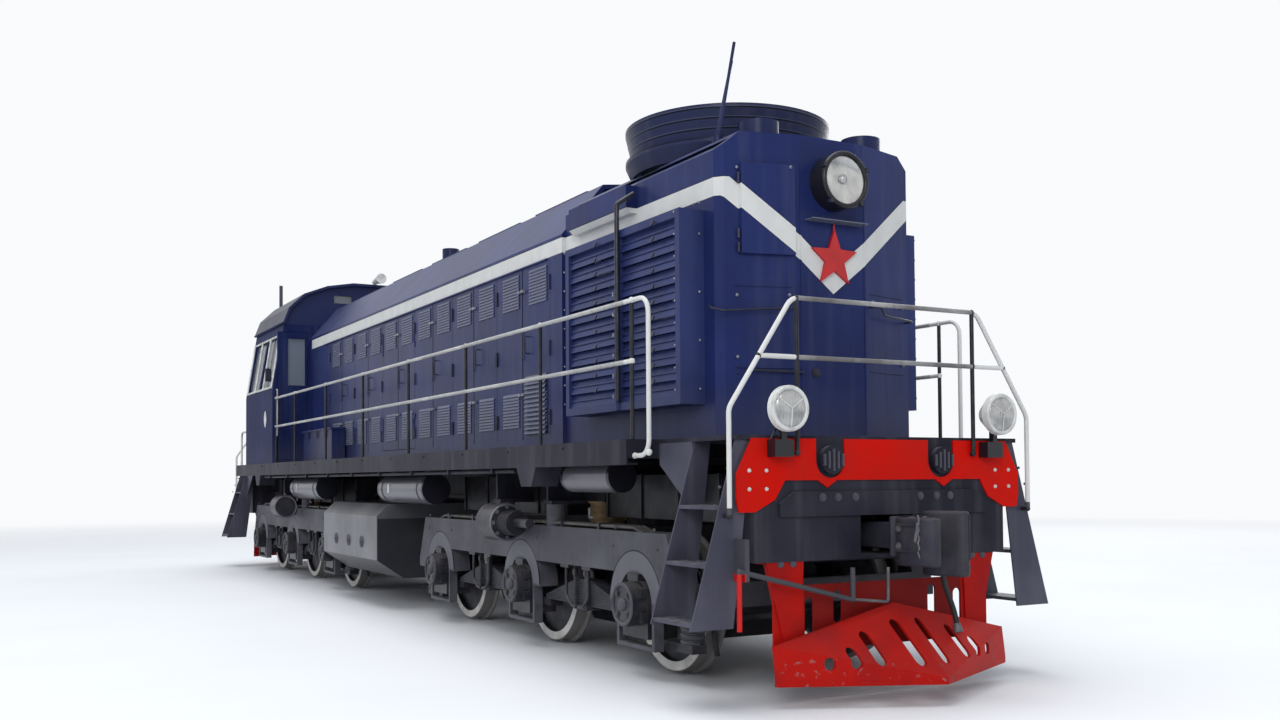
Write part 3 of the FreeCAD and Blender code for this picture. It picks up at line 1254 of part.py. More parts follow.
# ---------------------------------------------------------------- hoods
def radiator_hood():
    """Shell over the radiators with a three-sided front and a fan opening."""
    roof, side_top = up(S.hood_roof), up(S.radiator_side_top)
    wall, rear, half = S.hood_wall, RADIATOR_REAR, S.radiator_half
    edge = half - S.corner_width

    def plan(inset):
        """Outline drawn in by inset, from the right rear corner round the front."""
        right = [(rear + inset, -half + inset), (FACET_X - S.corner_length - inset, -half + inset),
                 (FACET_X - inset, -edge + inset), (FACE_X - inset, -S.face_half)]
        return right + [(x, -y) for x, y in reversed(right)]

    outer = prism("Z", plan(as_size(0)), (DECK_TOP, roof))
    inner = prism("Z", plan(wall), (DECK_TOP - 1, roof - wall))
    bevel_width = (roof - side_top) * 1.2
    long = (rear - 1, FACE_X + 1)
    bevels = [prism("X", ((side * (half - bevel_width), roof + 1),
                          (side * (half + 1), roof + 1), (side * (half + 1), side_top)), long)
              for side in (1, -1)]
    opening = drum("Z", S.ring_waist - S.ring_wall, (roof - wall - 1, roof + 1),
                   (FAN_X, 0))
    frame = S.shutter_frame
    windows = [box((SHUTTER_REAR + frame, SHUTTER_FRONT - frame),
                   turned(side, half - wall - 1, half + 1),
                   (up(S.shutter_bottom) + frame, up(S.shutter_top) - frame))
               for side in (1, -1)]
    shell = cut(outer, inner, opening, *bevels, *windows)
    # hatch on the right-hand facet
    slope = S.facet_back / (edge - S.face_half)

    def facet(y):
        return FACE_X - slope * (y - S.face_half)

    near, far = S.hatch_near, S.hatch_far
    outline = ((facet(near) - 1, -near), (facet(near) + S.hatch_plate, -near),
               (facet(far) + S.hatch_plate, -far), (facet(far) - 1, -far))
    hatch = prism("Z", outline, (up(S.hatch_low), up(S.hatch_high)))
    ducts = [side_duct(side) for side in (1, -1)]
    node("radiator_hood", fuse(shell, hatch, *ducts))


def side_duct(side):
    """Duct along the top of the radiator hood's side, its lower corner bevelled."""
    inner, outer = S.radiator_half - 1, S.radiator_half + S.duct_out
    low, high, bevel = up(S.duct_low), up(S.duct_high), S.duct_bevel
    outline = ((inner, low), (outer - bevel, low), (outer, low + bevel), (outer, high),
               (inner, high))
    front = FACET_X - S.duct_front
    return prism("X", [(side * y, z) for y, z in outline], (front - S.duct_length, front))


def radiator_shutters():
    """Framed shutter boxes on the radiator hood's sides, slats in two fields."""
    half, out = S.radiator_half, S.shutter_out
    x0, x1 = SHUTTER_REAR, SHUTTER_FRONT
    low, high = up(S.shutter_bottom), up(S.shutter_top)
    frame, middle = S.shutter_frame, (SHUTTER_REAR + SHUTTER_FRONT) / 2
    body = box((x0, x1), (half, out), (low, high))
    fields = [box((a, b), (half - 1, out + 1), (low + frame, high - frame))
              for a, b in ((x0 + frame, middle - frame / 2), (middle + frame / 2, x1 - frame))]
    upright = drum("Z", S.shutter_bar, (low, high), (middle, out))
    pieces = [cut(body, *fields), upright]
    pitch = (high - low - frame * 2) / S.slat_count
    face = out - S.slat_inset
    for index in range(int(S.slat_count.value)):
        z = low + frame + pitch * index
        top = z + pitch
        outline = ((face - S.slat_thickness, z), (face, z),
                   (face - S.slat_lean, top), (face - S.slat_lean - S.slat_thickness, top))
        pieces.append(prism("X", outline, (x0 + frame - 1, x1 - frame + 1)))
    node("radiator_shutters", both_sides(fuse(*pieces)))


def fan_ring():
    """Raised ring of two flared tiers on the roof, and the guard over the fan."""
    roof, top, step = up(S.hood_roof), up(S.ring_top), up(S.ring_step)
    wide, waist, rim, groove = S.ring_radius, S.ring_waist, S.ring_rim, S.ring_groove
    bore = waist - S.ring_wall
    flare = (wide - waist) / 3
    band = (top - rim - step) / 3
    profile = [(bore, roof), (waist, roof), (wide, step - rim), (wide, step), (waist, step)]
    for index in range(3):
        radius = waist + flare * index
        profile += [(radius, step + band * index + groove),
                    (radius + flare, step + band * (index + 1))]
        if index < 2:
            profile.append((radius + flare - groove / 2, step + band * (index + 1)))
    profile += [(wide, top), (bore, top)]
    body = doc.addObject("PartDesign::Body", "Ring")
    sketch = outline_sketch(body, "X", profile)
    turning = body.newObject("PartDesign::Revolution", "Turning")
    turning.Profile = sketch
    turning.ReferenceAxis = (sketch, ["V_Axis"])
    turning.Angle = 360
    place(body, FAN_X, 0, 0)
    pieces = [body]
    inner = bore + S.ring_wall / 2
    guard_z = (top - S.guard_bar * 2, top - S.guard_bar)
    half_bar = S.guard_bar / 2
    for index in range(int(S.guard_count.value)):
        offset = S.guard_pitch * (index - (S.guard_count.value - 1) / 2)
        reach = inner * (math.sqrt(inner.value ** 2 - offset.value ** 2) / inner.value)
        pieces.append(box((FAN_X + offset - half_bar, FAN_X + offset + half_bar),
                          (-reach, reach), guard_z))
    pieces.append(box((FAN_X - inner, FAN_X + inner), (-S.guard_bar, S.guard_bar), guard_z))
    node("fan_ring", fuse(*pieces))


def fan():
    """Rotor with twisted blades, and the gearbox column that carries it."""
    centre = (FAN_X, 0)
    level = up(S.fan_height)
    hub_z = (level - S.fan_hub_height / 2, level + S.fan_hub_height / 2)
    tip = S.ring_waist - S.ring_wall - S.fan_clearance
    pieces = [drum("Z", S.fan_hub_radius, hub_z, centre)]
    for index in range(int(S.blade_count.value)):
        blade = doc.addObject("Part::Box", "Blade")
        root = S.fan_hub_radius - 20
        bind(blade, Length=tip - root, Width=S.blade_chord, Height=S.blade_thickness)
        turn = Rotation(Vector(0, 0, 1), 360 / S.blade_count.value * index)
        tilt = Rotation(Vector(1, 0, 0), S.blade_pitch_angle.value)
        start = Vector(root.value, 0, 0)
        lean = tilt.multVec(Vector(0, -S.blade_chord.value / 2, -S.blade_thickness.value / 2))
        base = Vector(FAN_X.value, 0, level.value) + turn.multVec(start + lean)
        blade.Placement = Placement(base, turn.multiply(tilt))
        pieces.append(blade)
    shaft = drum("Z", S.shaft_radius, (up(S.gearbox_top) + S.gap_seat, hub_z[0] + 1), centre)
    node("fan_rotor", fuse(*pieces, shaft))
    half = S.gearbox_half
    deck = up(S.deck_height)
    pedestal = box((FAN_X - half, FAN_X + half), (-half, half), (deck, up(S.gearbox_top) - 300))
    housing = drum("Z", half, (up(S.gearbox_top) - 300, up(S.gearbox_top)), centre)
    node("fan_gearbox", fuse(pedestal, housing))


def hood_section(inset, low):
    """Hood cross-section: upright sides and a low pitched roof."""
    eave, peak = up(S.hood_side_top), up(S.hood_peak)
    half, shoulder = S.hood_half - inset, S.hood_shoulder - inset / 2
    slope = peak - S.hood_crown - inset
    return ((-half, low), (half, low), (half, eave - inset / 2), (shoulder, slope),
            (as_size(0), peak - inset), (-shoulder, slope), (-half, eave - inset / 2))


def hinge_levels(low, high):
    """Lower ends of a door's two moving knuckles."""
    return low + S.hinge_inset, high - S.hinge_inset - S.hinge_length


def fixed_spans(low, high):
    """Heights of the fixed knuckles, one below and one above each moving one."""
    spans = []
    for level in hinge_levels(low, high):
        spans.append((level - S.gap_seat - S.hinge_fixed, level - S.gap_seat))
        upper = level + S.hinge_length + S.gap_seat
        spans.append((upper, upper + S.hinge_fixed))
    return spans


def hang(leaf, centre, low, high):
    """The leaf with its moving knuckles, relieved round the fixed ones."""
    knuckles = [drum("Z", S.hinge_radius, (level, level + S.hinge_length), centre)
                for level in hinge_levels(low, high)]
    reliefs = [drum("Z", S.hinge_radius + 1, (a - 1, b + 1), centre)
               for a, b in fixed_spans(low, high)]
    trimmed = cut(leaf, *reliefs)
    return fuse(trimmed, *knuckles)


def fixed_hinges(centre, low, high, strap_x, strap_y):
    """Fixed knuckles on their straps, for the wall that carries the door."""
    pieces = []
    for span in fixed_spans(low, high):
        pieces.append(fuse(drum("Z", S.hinge_radius, span, centre),
                           box(strap_x, strap_y, span)))
    return pieces


def door_front(index):
    """Front edge of a hood door's bay, counted from the foremost."""
    return LEAF_FIRST - LEAF_PITCH * index


def engine_hood():
    """Shell over the engine: side walls with door openings and a pitched roof."""
    half, wall = S.hood_half, S.hood_wall
    span = (HOOD_REAR, RADIATOR_REAR)
    outer = prism("X", hood_section(as_size(0), DECK_TOP), span)
    inner = prism("X", hood_section(wall, DECK_TOP - 1), (span[0] - 1, span[1] + 1))
    openings = []
    for side in (1, -1):
        for pair in range(int(S.leaf_pairs.value)):
            openings.append(box((door_front(pair * 2 + 2) + S.leaf_gap,
                                 door_front(pair * 2) - S.leaf_gap),
                                turned(side, half - wall - 1, half + 1),
                                (LEAF_LOW, LEAF_HIGH)))
    shell = cut(outer, inner, *openings)
    roof_fittings(outer)
    fixed, fields, hinges = [], {1: [], -1: []}, []
    for side in (1, -1):
        strips = louvre_strips(side)
        for index in range(int(S.leaf_pairs.value) * 2):
            label, hinged = door_label(index, side)
            if hinged:
                leaf, fixings = hinged_door(index, side)
                hinges.extend(fixings)
                louvres = shared(strips, louvre_fields(index, side))
                node(label, fuse(leaf, louvres))
            else:
                fixed.append(latched_door(index, side))
                fields[side].append(louvre_fields(index, side))
        fixed.append(shared(strips, group(*fields[side])))
    node("engine_hood", fuse(shell, *hinges))
    node("hood_doors_latched", fuse(*fixed))


def louvre_strips(side):
    """Saw-toothed strips along the whole row of doors, one above and one below."""
    face, count = S.hood_half, int(S.louvre_count.value)
    span = (door_front(int(S.leaf_pairs.value) * 2), door_front(0))
    strips = []
    for low in (up(S.louvre_low), up(S.louvre_high)):
        outline = [(face - S.louvre_out / 2, low + S.louvre_pitch * count),
                   (face - S.louvre_out / 2, low)]
        for step in range(count):
            z = low + S.louvre_pitch * step
            outline += [(face + S.louvre_out, z + S.louvre_pitch / 10),
                        (face + 1, z + S.louvre_pitch)]
        strips.append(prism("X", [(side * y, z) for y, z in outline], span))
    return group(*strips)


def louvre_fields(index, side):
    """Region of one leaf's two louvre fields."""
    middle = door_front(index) - LEAF_PITCH / 2 + S.louvre_shift
    half = S.louvre_width / 2
    return box((middle - half, middle + half),
               turned(side, S.hood_half - S.leaf_thickness, S.hood_half + S.louvre_out * 2),
               (LEAF_LOW, LEAF_HIGH))


def door_label(index, side):
    first = int(S.open_pair.value) * 2
    hinged = first <= index < first + 2
    name = "left" if side > 0 else "right"
    return f"hood_door_{name}_{index - first + 1}", hinged


def latched_door(index, side):
    """Closed leaf, seated in its opening all round."""
    edge, meeting = S.leaf_gap, S.leaf_gap / 2
    first_of_pair = index % 2 == 0
    start = door_front(index + 1) + (meeting if first_of_pair else edge)
    end = door_front(index) - (edge if first_of_pair else meeting)
    return box((start, end), turned(side, S.hood_half - S.leaf_thickness, S.hood_half),
               (LEAF_LOW, LEAF_HIGH))


def hinged_door(index, side):
    """One leaf of a double door; even leaves hang on their front edge."""
    gap, half = S.leaf_gap, S.hood_half
    low, high = LEAF_LOW + gap, LEAF_HIGH - gap
    on_front = index % 2 == 0
    start = door_front(index + 1) + (gap / 2 if on_front else gap * 2)
    end = door_front(index) - (gap * 2 if on_front else gap / 2)
    panel = box((start, end), turned(side, half - S.leaf_thickness, half), (low, high))
    hinge_x = end - S.hinge_radius if on_front else start + S.hinge_radius
    centre = (hinge_x, side * half)
    strap_x = (hinge_x, hinge_x + S.hinge_strap) if on_front else (
        hinge_x - S.hinge_strap, hinge_x)
    fixings = fixed_hinges(centre, low, high, strap_x, turned(side, half,
                                                              half + S.hinge_radius))
    return hang(panel, centre, low, high), fixings


def cabinet_hood():
    """Plain hood between the engine hood and the cab, and the tool box beside it."""
    section = hood_section(as_size(0), DECK_TOP)
    node("cabinet_hood", prism("X", section, (CAB_FRONT, HOOD_REAR)))
    rear = CAB_FRONT + S.tool_box_inset
    front, lid = rear + S.tool_box_length, S.tool_box_lid
    inner, outer = S.hood_half + S.louvre_out * 2, S.hood_half + S.tool_box_out
    top = DECK_TOP + S.tool_box_height
    case = box((rear, front), (-outer, -inner), (DECK_TOP, top))
    cover = box((rear - lid, front + lid), (-outer - lid, -inner), (top, top + lid))
    node("tool_box", fuse(case, cover))


# ---------------------------------------------------------------- cab
def cab_section(inset, low):
    """Cab cross-section: upright to the waist, leaning in to the eaves."""
    waist, eave = up(S.cab_waist), up(S.cab_eave)
    return ((-S.cab_half + inset, low), (S.cab_half - inset, low),
            (S.cab_half - inset, waist), (S.cab_eave_half - inset, eave),
            (-S.cab_eave_half + inset, eave), (-S.cab_half + inset, waist))


def cab():
    rear, front, wall = CAB_REAR, CAB_FRONT, S.cab_wall
    outer = prism("X", cab_section(as_size(0), DECK_TOP), (rear, front))
    inner = prism("X", cab_section(wall, DECK_TOP - 1), (rear + wall, front - wall))
    ceiling = S.cab_eave_half - wall
    headroom = box((rear + wall, front - wall), (-ceiling, ceiling),
                   (up(S.cab_eave) - 5, up(S.cab_eave) + 5))
    openings = [inner, headroom]
    panes = []
    low, high = up(S.side_window_bottom), up(S.side_window_top)
    x0, x1 = rear + wall + S.window_rim, front - wall - S.window_rim
    middle, mullion = (x0 + x1) / 2, wall / 2
    for side in (1, -1):
        y = turned(side, ceiling - S.window_rim, S.cab_half + 1)
        for a, b in ((x0, middle - mullion), (middle + mullion, x1)):
            openings.append(box((a, b), y, (low, high)))
            panes.append(side_pane(side, (a, b), (low, high)))
    low, high = up(S.end_window_bottom), up(S.end_window_top)
    through = {"front": (front - wall, front), "rear": (rear, rear + wall)}
    # end wall, low y, high y of each fixed window
    windows = (("front", S.door_inner + wall, S.door_outer - wall),
               ("rear", S.rear_window_inner, S.rear_window_outer),
               ("rear", -S.rear_window_outer, -S.rear_window_inner))
    for wall_name, a, b in windows:
        x = through[wall_name]
        openings.append(box((x[0] - 1, x[1] + 1), (a, b), (low, high)))
        panes.append(box(pane_span(x), (a, b), (low, high)))
    for side in (1, -1):
        panes.append(box(pane_span(through["front"]),
                         turned(side, S.gable_inner, S.gable_outer),
                         (up(S.gable_low), up(S.gable_high))))
    gap = S.door_gap
    doorway = (DOOR_LOW - gap, DOOR_HIGH + gap)
    # right-hand front door and left-hand rear door
    for wall_name, side in (("front", -1), ("rear", 1)):
        x = through[wall_name]
        openings.append(box((x[0] - 1, x[1] + 1),
                            turned(side, S.door_inner - gap, S.door_outer + gap), doorway))
    walls = [cut(outer, *openings)]
    node("cab_glass", group(*panes))
    for wall_name, side, face in (("front", -1, front), ("rear", 1, rear)):
        x = through[wall_name]
        pane_y = turned(side, S.door_inner + S.door_rim_inner,
                        S.door_outer - S.door_rim_outer)
        centre = (face, side * (S.door_inner + S.hinge_radius))
        leaf = cab_door(x, turned(side, S.door_inner, S.door_outer), pane_y)
        node(f"cab_door_{wall_name}", hang(leaf, centre, DOOR_LOW, DOOR_HIGH))
        strap_x = (face, face + S.hinge_radius) if wall_name == "front" else (
            face - S.hinge_radius, face)
        strap_y = turned(side, S.door_inner + S.hinge_radius - S.hinge_strap,
                         S.door_inner + S.hinge_radius)
        walls.extend(fixed_hinges(centre, DOOR_LOW, DOOR_HIGH, strap_x, strap_y))
    node("cab_body", fuse(*walls))
    roof()
    cab_inside()


def pane_span(x):
    """Middle of a wall, as thick as the glass."""
    middle = (x[0] + x[1]) / 2
    return middle - S.glass / 2, middle + S.glass / 2


def side_pane(side, x, z):
    """Pane in the leaning upper part of a cab side."""
    waist, eave = up(S.cab_waist), up(S.cab_eave)
    lean = (S.cab_half - S.cab_eave_half) / (eave - waist)
    middle = S.cab_wall / 2
    y_low = S.cab_half - middle - (z[0] - waist) * lean
    y_high = S.cab_half - middle - (z[1] - waist) * lean
    half = S.glass / 2
    outline = [(y_low - half, z[0]), (y_low + half, z[0]), (y_high + half, z[1]),
               (y_high - half, z[1])]
    return prism("X", [(side * y, z) for y, z in outline], x)


def cab_door(x, y, window):
    """Door leaf with its pane."""
    panel = box(x, y, (DOOR_LOW, DOOR_HIGH))
    window_z = (up(S.end_window_bottom), up(S.end_window_top) - S.door_rim_inner)
    opening = box((x[0] - 1, x[1] + 1), window, window_z)
    return fuse(cut(panel, opening), box(pane_span(x), window, window_z))


def roof():
    """Arched roof over the cab: a thin shell with a gable over each end wall."""
    eave, peak = up(S.cab_eave), up(S.cab_peak)
    edge = S.cab_eave_half + S.cab_wall / 2
    plate, overhang, wall = S.cab_roof_plate, S.cab_overhang, S.cab_wall

    def arch(drop):
        # share of the half width, share of the rise
        fractions = ((1.0, 0.0), (0.93, 0.36), (0.76, 0.68), (0.5, 0.88), (0.2, 0.985))
        rise = peak - eave - drop
        right = [((edge - drop) * a, eave + rise * b) for a, b in fractions]
        return right + [(-y, z) for y, z in reversed(right)]

    span = (CAB_REAR - overhang, CAB_FRONT + overhang)
    shell = cut(prism("X", arch(as_size(0)), span),
                prism("X", arch(plate), (span[0] - 1, span[1] + 1)))
    gables = [prism("X", arch(plate), (x, x + wall)) for x in (CAB_REAR, CAB_FRONT - wall)]
    windows = [box((CAB_FRONT - wall - 1, CAB_FRONT + 1),
                   turned(side, S.gable_inner, S.gable_outer),
                   (up(S.gable_low), up(S.gable_high))) for side in (1, -1)]
    pipe = drum("Z", S.vent_pipe_radius, (eave + S.vent_pipe_root, up(S.vent_pipe_top)),
                (CAB_REAR + S.vent_pipe_inset, -S.vent_pipe_y))
    top = cut(fuse(shell, *gables, pipe), *windows)
    node("cab_roof", top)
    horn(top)


def cab_inside():
    """Control desk and two seats."""
    rear, front, wall = CAB_REAR, CAB_FRONT, S.cab_wall
    desk = box((front - wall - S.desk_depth, front - wall - S.desk_gap),
               (S.desk_inner, S.cab_half - wall - S.desk_margin),
               (DECK_TOP, DECK_TOP + S.desk_height))
    seats = []
    cushion_low = DECK_TOP + S.seat_height - S.seat_cushion
    inset = S.seat_foot_inset
    for side in (1, -1):
        x = (rear + wall + S.seat_inset, rear + wall + S.seat_inset + S.seat_width)
        y = turned(side, S.seat_y, S.seat_y + S.seat_width)
        base = box((x[0] + inset, x[1] - inset), (y[0] + inset, y[1] - inset),
                   (DECK_TOP, cushion_low))
        cushion = box(x, y, (cushion_low, DECK_TOP + S.seat_height))
        back = box((x[0], x[0] + S.seat_cushion), y,
                   (DECK_TOP + S.seat_height, DECK_TOP + S.seat_height + S.seat_back))
        seats.append(fuse(base, cushion, back))
    node("cab_interior", group(desk, *seats))


def rear_hood():
    top = up(S.rear_hood_top)
    half, bevel = S.rear_hood_half, S.rear_hood_bevel
    outline = ((-half, DECK_TOP), (half, DECK_TOP), (half, top - bevel), (half - bevel, top),
               (-half + bevel, top), (-half, top - bevel))
    node("rear_hood", prism("X", outline, (REAR_HOOD_REAR, CAB_REAR)))


# ---------------------------------------------------------------- tanks and masses
# fuel tank's end or bogie pivot the reservoir starts from, distance, length, radius, drop
# of its axis below the deck
RESERVOIRS = (
    ("rear", -S.bogie_half + 740, 1500, 158, 371),
    ("middle", S.bogie_half - S.beam_end - S.tank_gap_front - 150, 1550, 158, 371),
    ("front", S.bogie_half + 1200, 830, 122, 261),
)


def tanks():
    """Fuel tank between the bogies, and the air reservoirs under the deck."""
    inner_ends = S.bogie_half - S.beam_end
    x = (S.tank_gap_rear - inner_ends, inner_ends - S.tank_gap_front)
    half = ((S.tank_half, S.tank_shoulder), (S.tank_half, S.tank_hip),
            (S.tank_bottom_half, S.tank_bottom))
    top_half = S.tank_half - (S.tank_top - S.tank_shoulder)
    right = [(top_half, up(S.tank_top))] + [(y, up(z)) for y, z in half]
    outline = right + [(-y, z) for y, z in reversed(right)]
    pieces = [prism("X", outline, x)]
    inset = S.tank_strap_inset
    for strap_x in (x[0] + inset, (x[0] + x[1]) / 2, x[1] - inset):
        for side in (1, -1):
            y = turned(side, S.spine_y - S.spine_flange / 2, S.spine_y + S.spine_flange / 2)
            pieces.append(box((strap_x - S.tank_strap, strap_x + S.tank_strap), y,
                              (up(S.tank_top) - 1, up(S.spine_bottom))))
    node("fuel_tank", fuse(*pieces))
    reservoirs = []
    band = S.air_strap
    for name, start, length, radius, drop in RESERVOIRS:
        end, axis = start + length, DECK_TOP - drop
        for side in (1, -1):
            pieces = [drum("X", as_size(radius), (start, end), (side * S.air_y, axis))]
            for band_x in (start + S.air_strap_inset, end - S.air_strap_inset - band):
                y = turned(side, S.air_y - band / 2, S.air_y + band / 2)
                pieces.append(box((band_x, band_x + band), y, (axis, UNDER_DECK)))
            reservoirs.append(fuse(*pieces))
    node("air_reservoirs", group(*reservoirs))


def engine():
    """Engine block and generator as plain masses on the deck."""
    half = S.engine_half
    block = box((S.engine_rear, S.engine_front), (-half, half), (DECK_TOP, up(S.engine_top)))
    generator = drum("X", S.generator_radius, (S.generator_rear, S.engine_rear + 1),
                     (as_size(0), DECK_TOP + S.generator_radius + S.generator_lift))
    foot = box((S.generator_rear, S.engine_rear + 1), (-half, half),
               (DECK_TOP, DECK_TOP + S.generator_radius / 2))
    node("engine_and_generator", fuse(block, generator, foot))


# ---------------------------------------------------------------- lamps and fittings
def lamps():
    """Headlights, and the buffer lamps on their brackets."""
    axis = (0, up(S.head_lamp_height))
    front = FACE_X + S.head_lamp_length
    glass = front - S.head_lamp_recess
    head_front = cut(drum("X", S.head_lamp_radius, (FACE_X, front), axis),
                     drum("X", S.head_lamp_radius - S.head_lamp_rim, (glass, front + 1), axis))
    head_rear = drum("X", S.rear_lamp_radius, (CAB_REAR - S.rear_lamp_length, CAB_REAR),
                     (0, up(S.rear_lamp_height)))
    z = DECK_TOP + S.buffer_lamp_rise
    face = END_X + S.buffer_lamp_out
    rim = face - S.buffer_lamp_rim
    high, low = DECK_TOP - S.lamp_bracket_high, DECK_TOP - S.lamp_bracket_low
    half, stem = S.lamp_bracket_half, S.lamp_stem
    lamps = []
    for side in (1, -1):
        y = side * S.buffer_lamp_y
        ring = drum("X", S.buffer_lamp_radius, (rim, face), (y, z))
        bowl = cone("X", (S.buffer_lamp_back, S.buffer_lamp_radius),
                    (face - S.buffer_lamp_length, rim), (y, z))
        bracket = box((END_X, END_X + S.lamp_bracket_out), (y - half, y + half), (low, high))
        post_x = END_X + S.lamp_bracket_out - stem
        holder = box((post_x, post_x + stem), (y - stem / 2, y + stem / 2),
                     (high - 1, z - S.buffer_lamp_back / 2))
        lamps.append(fuse(ring, bowl, bracket, holder))
    node("lamps", group(head_front, head_rear, both_ends(group(*lamps))))
    star()


def star():
    """Five-pointed star on the front panel, hung by a rod from a small shelf."""
    middle = up(S.star_height)
    points = []
    for index in range(10):
        radius = S.star_radius if index % 2 == 0 else S.star_radius * 0.42
        angle = math.pi / 2 + index * math.pi / 5
        points.append((radius * round(math.cos(angle), 6),
                       middle + radius * round(math.sin(angle), 6)))
    low = up(S.shelf_height)
    rod_x = FACE_X + S.star_thickness / 2
    node("front_star", fuse(
        prism("X", points, (FACE_X, FACE_X + S.star_thickness)),
        box((FACE_X, FACE_X + S.shelf_depth), (-S.shelf_half, S.shelf_half),
            (low, low + S.shelf_plate)),
        drum("Z", S.shelf_rod, (middle + S.star_radius / 2, low + 1), (rod_x, 0))))


def roof_fittings(hood):
    """Exhaust stack seated on the hood's pitched roof, filler caps and the aerial."""
    peak = up(S.hood_peak)
    stack = cut(drum("Z", S.stack_radius, (peak - S.hood_crown, up(S.stack_top)),
                     (-S.stack_x, 0)), hood)
    roof = up(S.hood_roof)
    cap_x = FACE_X - S.cap_inset
    caps = [drum("Z", S.cap_radius, (roof, roof + S.cap_height), (cap_x, side * S.cap_y))
            for side in (1, -1)]
    foot_x, foot_y = FAN_X + S.ring_radius + S.aerial_gap, -S.aerial_y
    top, base = up(S.aerial_top), S.aerial_radius
    pieces = [drum("Z", S.aerial_base, (roof, roof + S.aerial_base), (foot_x, foot_y))]
    for offset, drop in ((as_size(0), as_size(0)), (S.aerial_spacing, S.aerial_short)):
        x = foot_x - offset
        pieces.append(bar_between((x, foot_y, roof + base),
                                  (x, foot_y + S.aerial_lean, top - drop), base))
    node("roof_fittings", group(stack, fuse(*pieces), *caps))


def horn(roof):
    """Air horn on a foot that follows the cab roof, its bell to the front."""
    axis = up(S.cab_peak) + S.horn_rise
    start, y = CAB_FRONT - S.horn_back, S.horn_y
    throat = S.horn_bell / 3
    bell = cone("X", (throat, S.horn_bell), (start, start + S.horn_length), (y, axis))
    foot = box((start + throat, start + throat * 3), (y - throat, y + throat),
               (axis - S.horn_rise * 2, axis))
    node("horn", cut(fuse(bell, foot), roof))


def end_gear():
    """Brake cocks with their hoses, and the uncoupling lever at each end."""
    cocks, levers = [], []
    for name, end in (("front", 1), ("rear", -1)):
        y = end * S.cock_y
        elbow_z = up(S.cock_height)
        pipe = drum("X", S.cock_radius, turned(end, END_X - S.end_plate, END_X + S.cock_out),
                    (y, elbow_z))
        body = cone("Z", (S.cock_radius * 0.8, S.cock_radius * 1.2),
                    (elbow_z - S.cock_drop, elbow_z + S.cock_radius),
                    (end * (END_X + S.cock_out), y))
        cocks.append(fuse(pipe, body))
        levers.append(uncoupling_lever(end))
        hose(name, end, y, elbow_z - S.cock_drop)
    node("brake_cocks", group(*cocks))
    node("uncoupling_levers", group(*levers))


def uncoupling_lever(end):
    """Sloping rod from a handle at the steps to a crank beside the coupler."""
    x = end * (END_X + S.lever_out)
    bar = S.rail_bar / 2
    handle_y, crank_y = -end * S.lever_far, -end * S.lever_near
    high, low = up(S.lever_high), up(S.lever_low)
    pieces = rail_run([(x, handle_y, up(S.handle_foot)), (x, handle_y, high),
                       (x, crank_y, low), (x, crank_y, low + S.crank_length)])
    hold_y = turned(-end, S.lever_far - bar * 4, S.lever_far - bar * 2)
    pieces.append(box(turned(end, END_X - S.cheek_front_inset, END_X + S.lever_out + bar), hold_y,
                      (high - bar * 4, high + S.hold_height)))
    return fuse(*pieces)


# hose points from its cock: forward, down
HOSE_ROUTE = ((0, 0), (0, 70), (16, 140), (46, 210), (82, 280), (116, 350), (134, 420))


def hose(name, end, y, top):
    """Rubber hose hanging from its cock, straight runs joined by tangent arcs."""
    points = [Vector(end * ((END_X + S.cock_out).value + forward), y.value, top.value - down)
              for forward, down in HOSE_ROUTE]
    path, last = [], points[0]
    radii = []
    for before, corner, after in zip(points, points[1:], points[2:]):
        into, out = corner - before, after - corner
        turn = into.getAngle(out)
        shorter = min(into.Length, out.Length)
        reach = 0.45 * shorter
        radii.append(reach / math.tan(turn / 2))
        a = corner - Vector(into).normalize() * reach
        b = corner + Vector(out).normalize() * reach
        middle = a + b - corner * 2
        depth = radii[-1] / math.cos(turn / 2) - radii[-1]
        path.append(Part.LineSegment(last, a).toShape())
        path.append(Part.Arc(a, corner + middle.normalize() * depth, b).toShape())
        last = b
    path.append(Part.LineSegment(last, points[-1]).toShape())
    wire = Part.Wire(path)
    ring = Part.Wire(Part.makeCircle(S.hose_radius.value, points[0], Vector(0, 0, -1)))
    tube_shape = wire.makePipeShell([ring], True, False)
    piece = doc.addObject("Part::Feature", "Hose")
    piece.Shape = tube_shape
    expected = math.pi * S.hose_radius.value ** 2 * wire.Length
    print(f"hose {name}: radii {[round(r) for r in radii]}, length {wire.Length:.0f},",
          f"volume {tube_shape.Volume / expected:.4f} of section times length")
    node(f"brake_hose_{name}", piece)
    head = doc.addObject("Part::Cone", "Head")
    bind(head, Radius1=S.hose_radius * 1.3, Radius2=S.hose_radius * 1.9,
         Height=S.hose_head)
    direction = points[-1] - points[-2]
    head.Placement = Placement(points[-1], Rotation(Vector(0, 0, 1), direction))
    node(f"hose_head_{name}", head)


# ---------------------------------------------------------------- build and write
underframe()
bogie("front", 1)
bogie("rear", -1)
end_plates()
ploughs()
corner_steps()
couplers()
side_handrails()
end_handrails()
radiator_hood()
radiator_shutters()
fan_ring()
fan()
engine_hood()
cabinet_hood()
cab()
rear_hood()
tanks()
engine()
lamps()
end_gear()
doc.recompute()

for item in doc.Objects:
    if "Invalid" in item.State or "Error" in item.State:
        raise RuntimeError(f"{item.Name} ({item.Label}) did not build: {item.State}")
for label, piece in NODES.items():
    if piece.Shape.isNull() or not piece.Shape.isValid():
        raise RuntimeError(f"{label} has no valid shape")
os.makedirs("parts", exist_ok=True)
for label, piece in NODES.items():
    piece.Shape.exportStep(f"parts/{label}.step")
    shape = piece.Shape
    print(f"{label}: {len(shape.Solids)} solids, {shape.Volume / 1e9:.4f} m3")
print(len(NODES), "nodes")
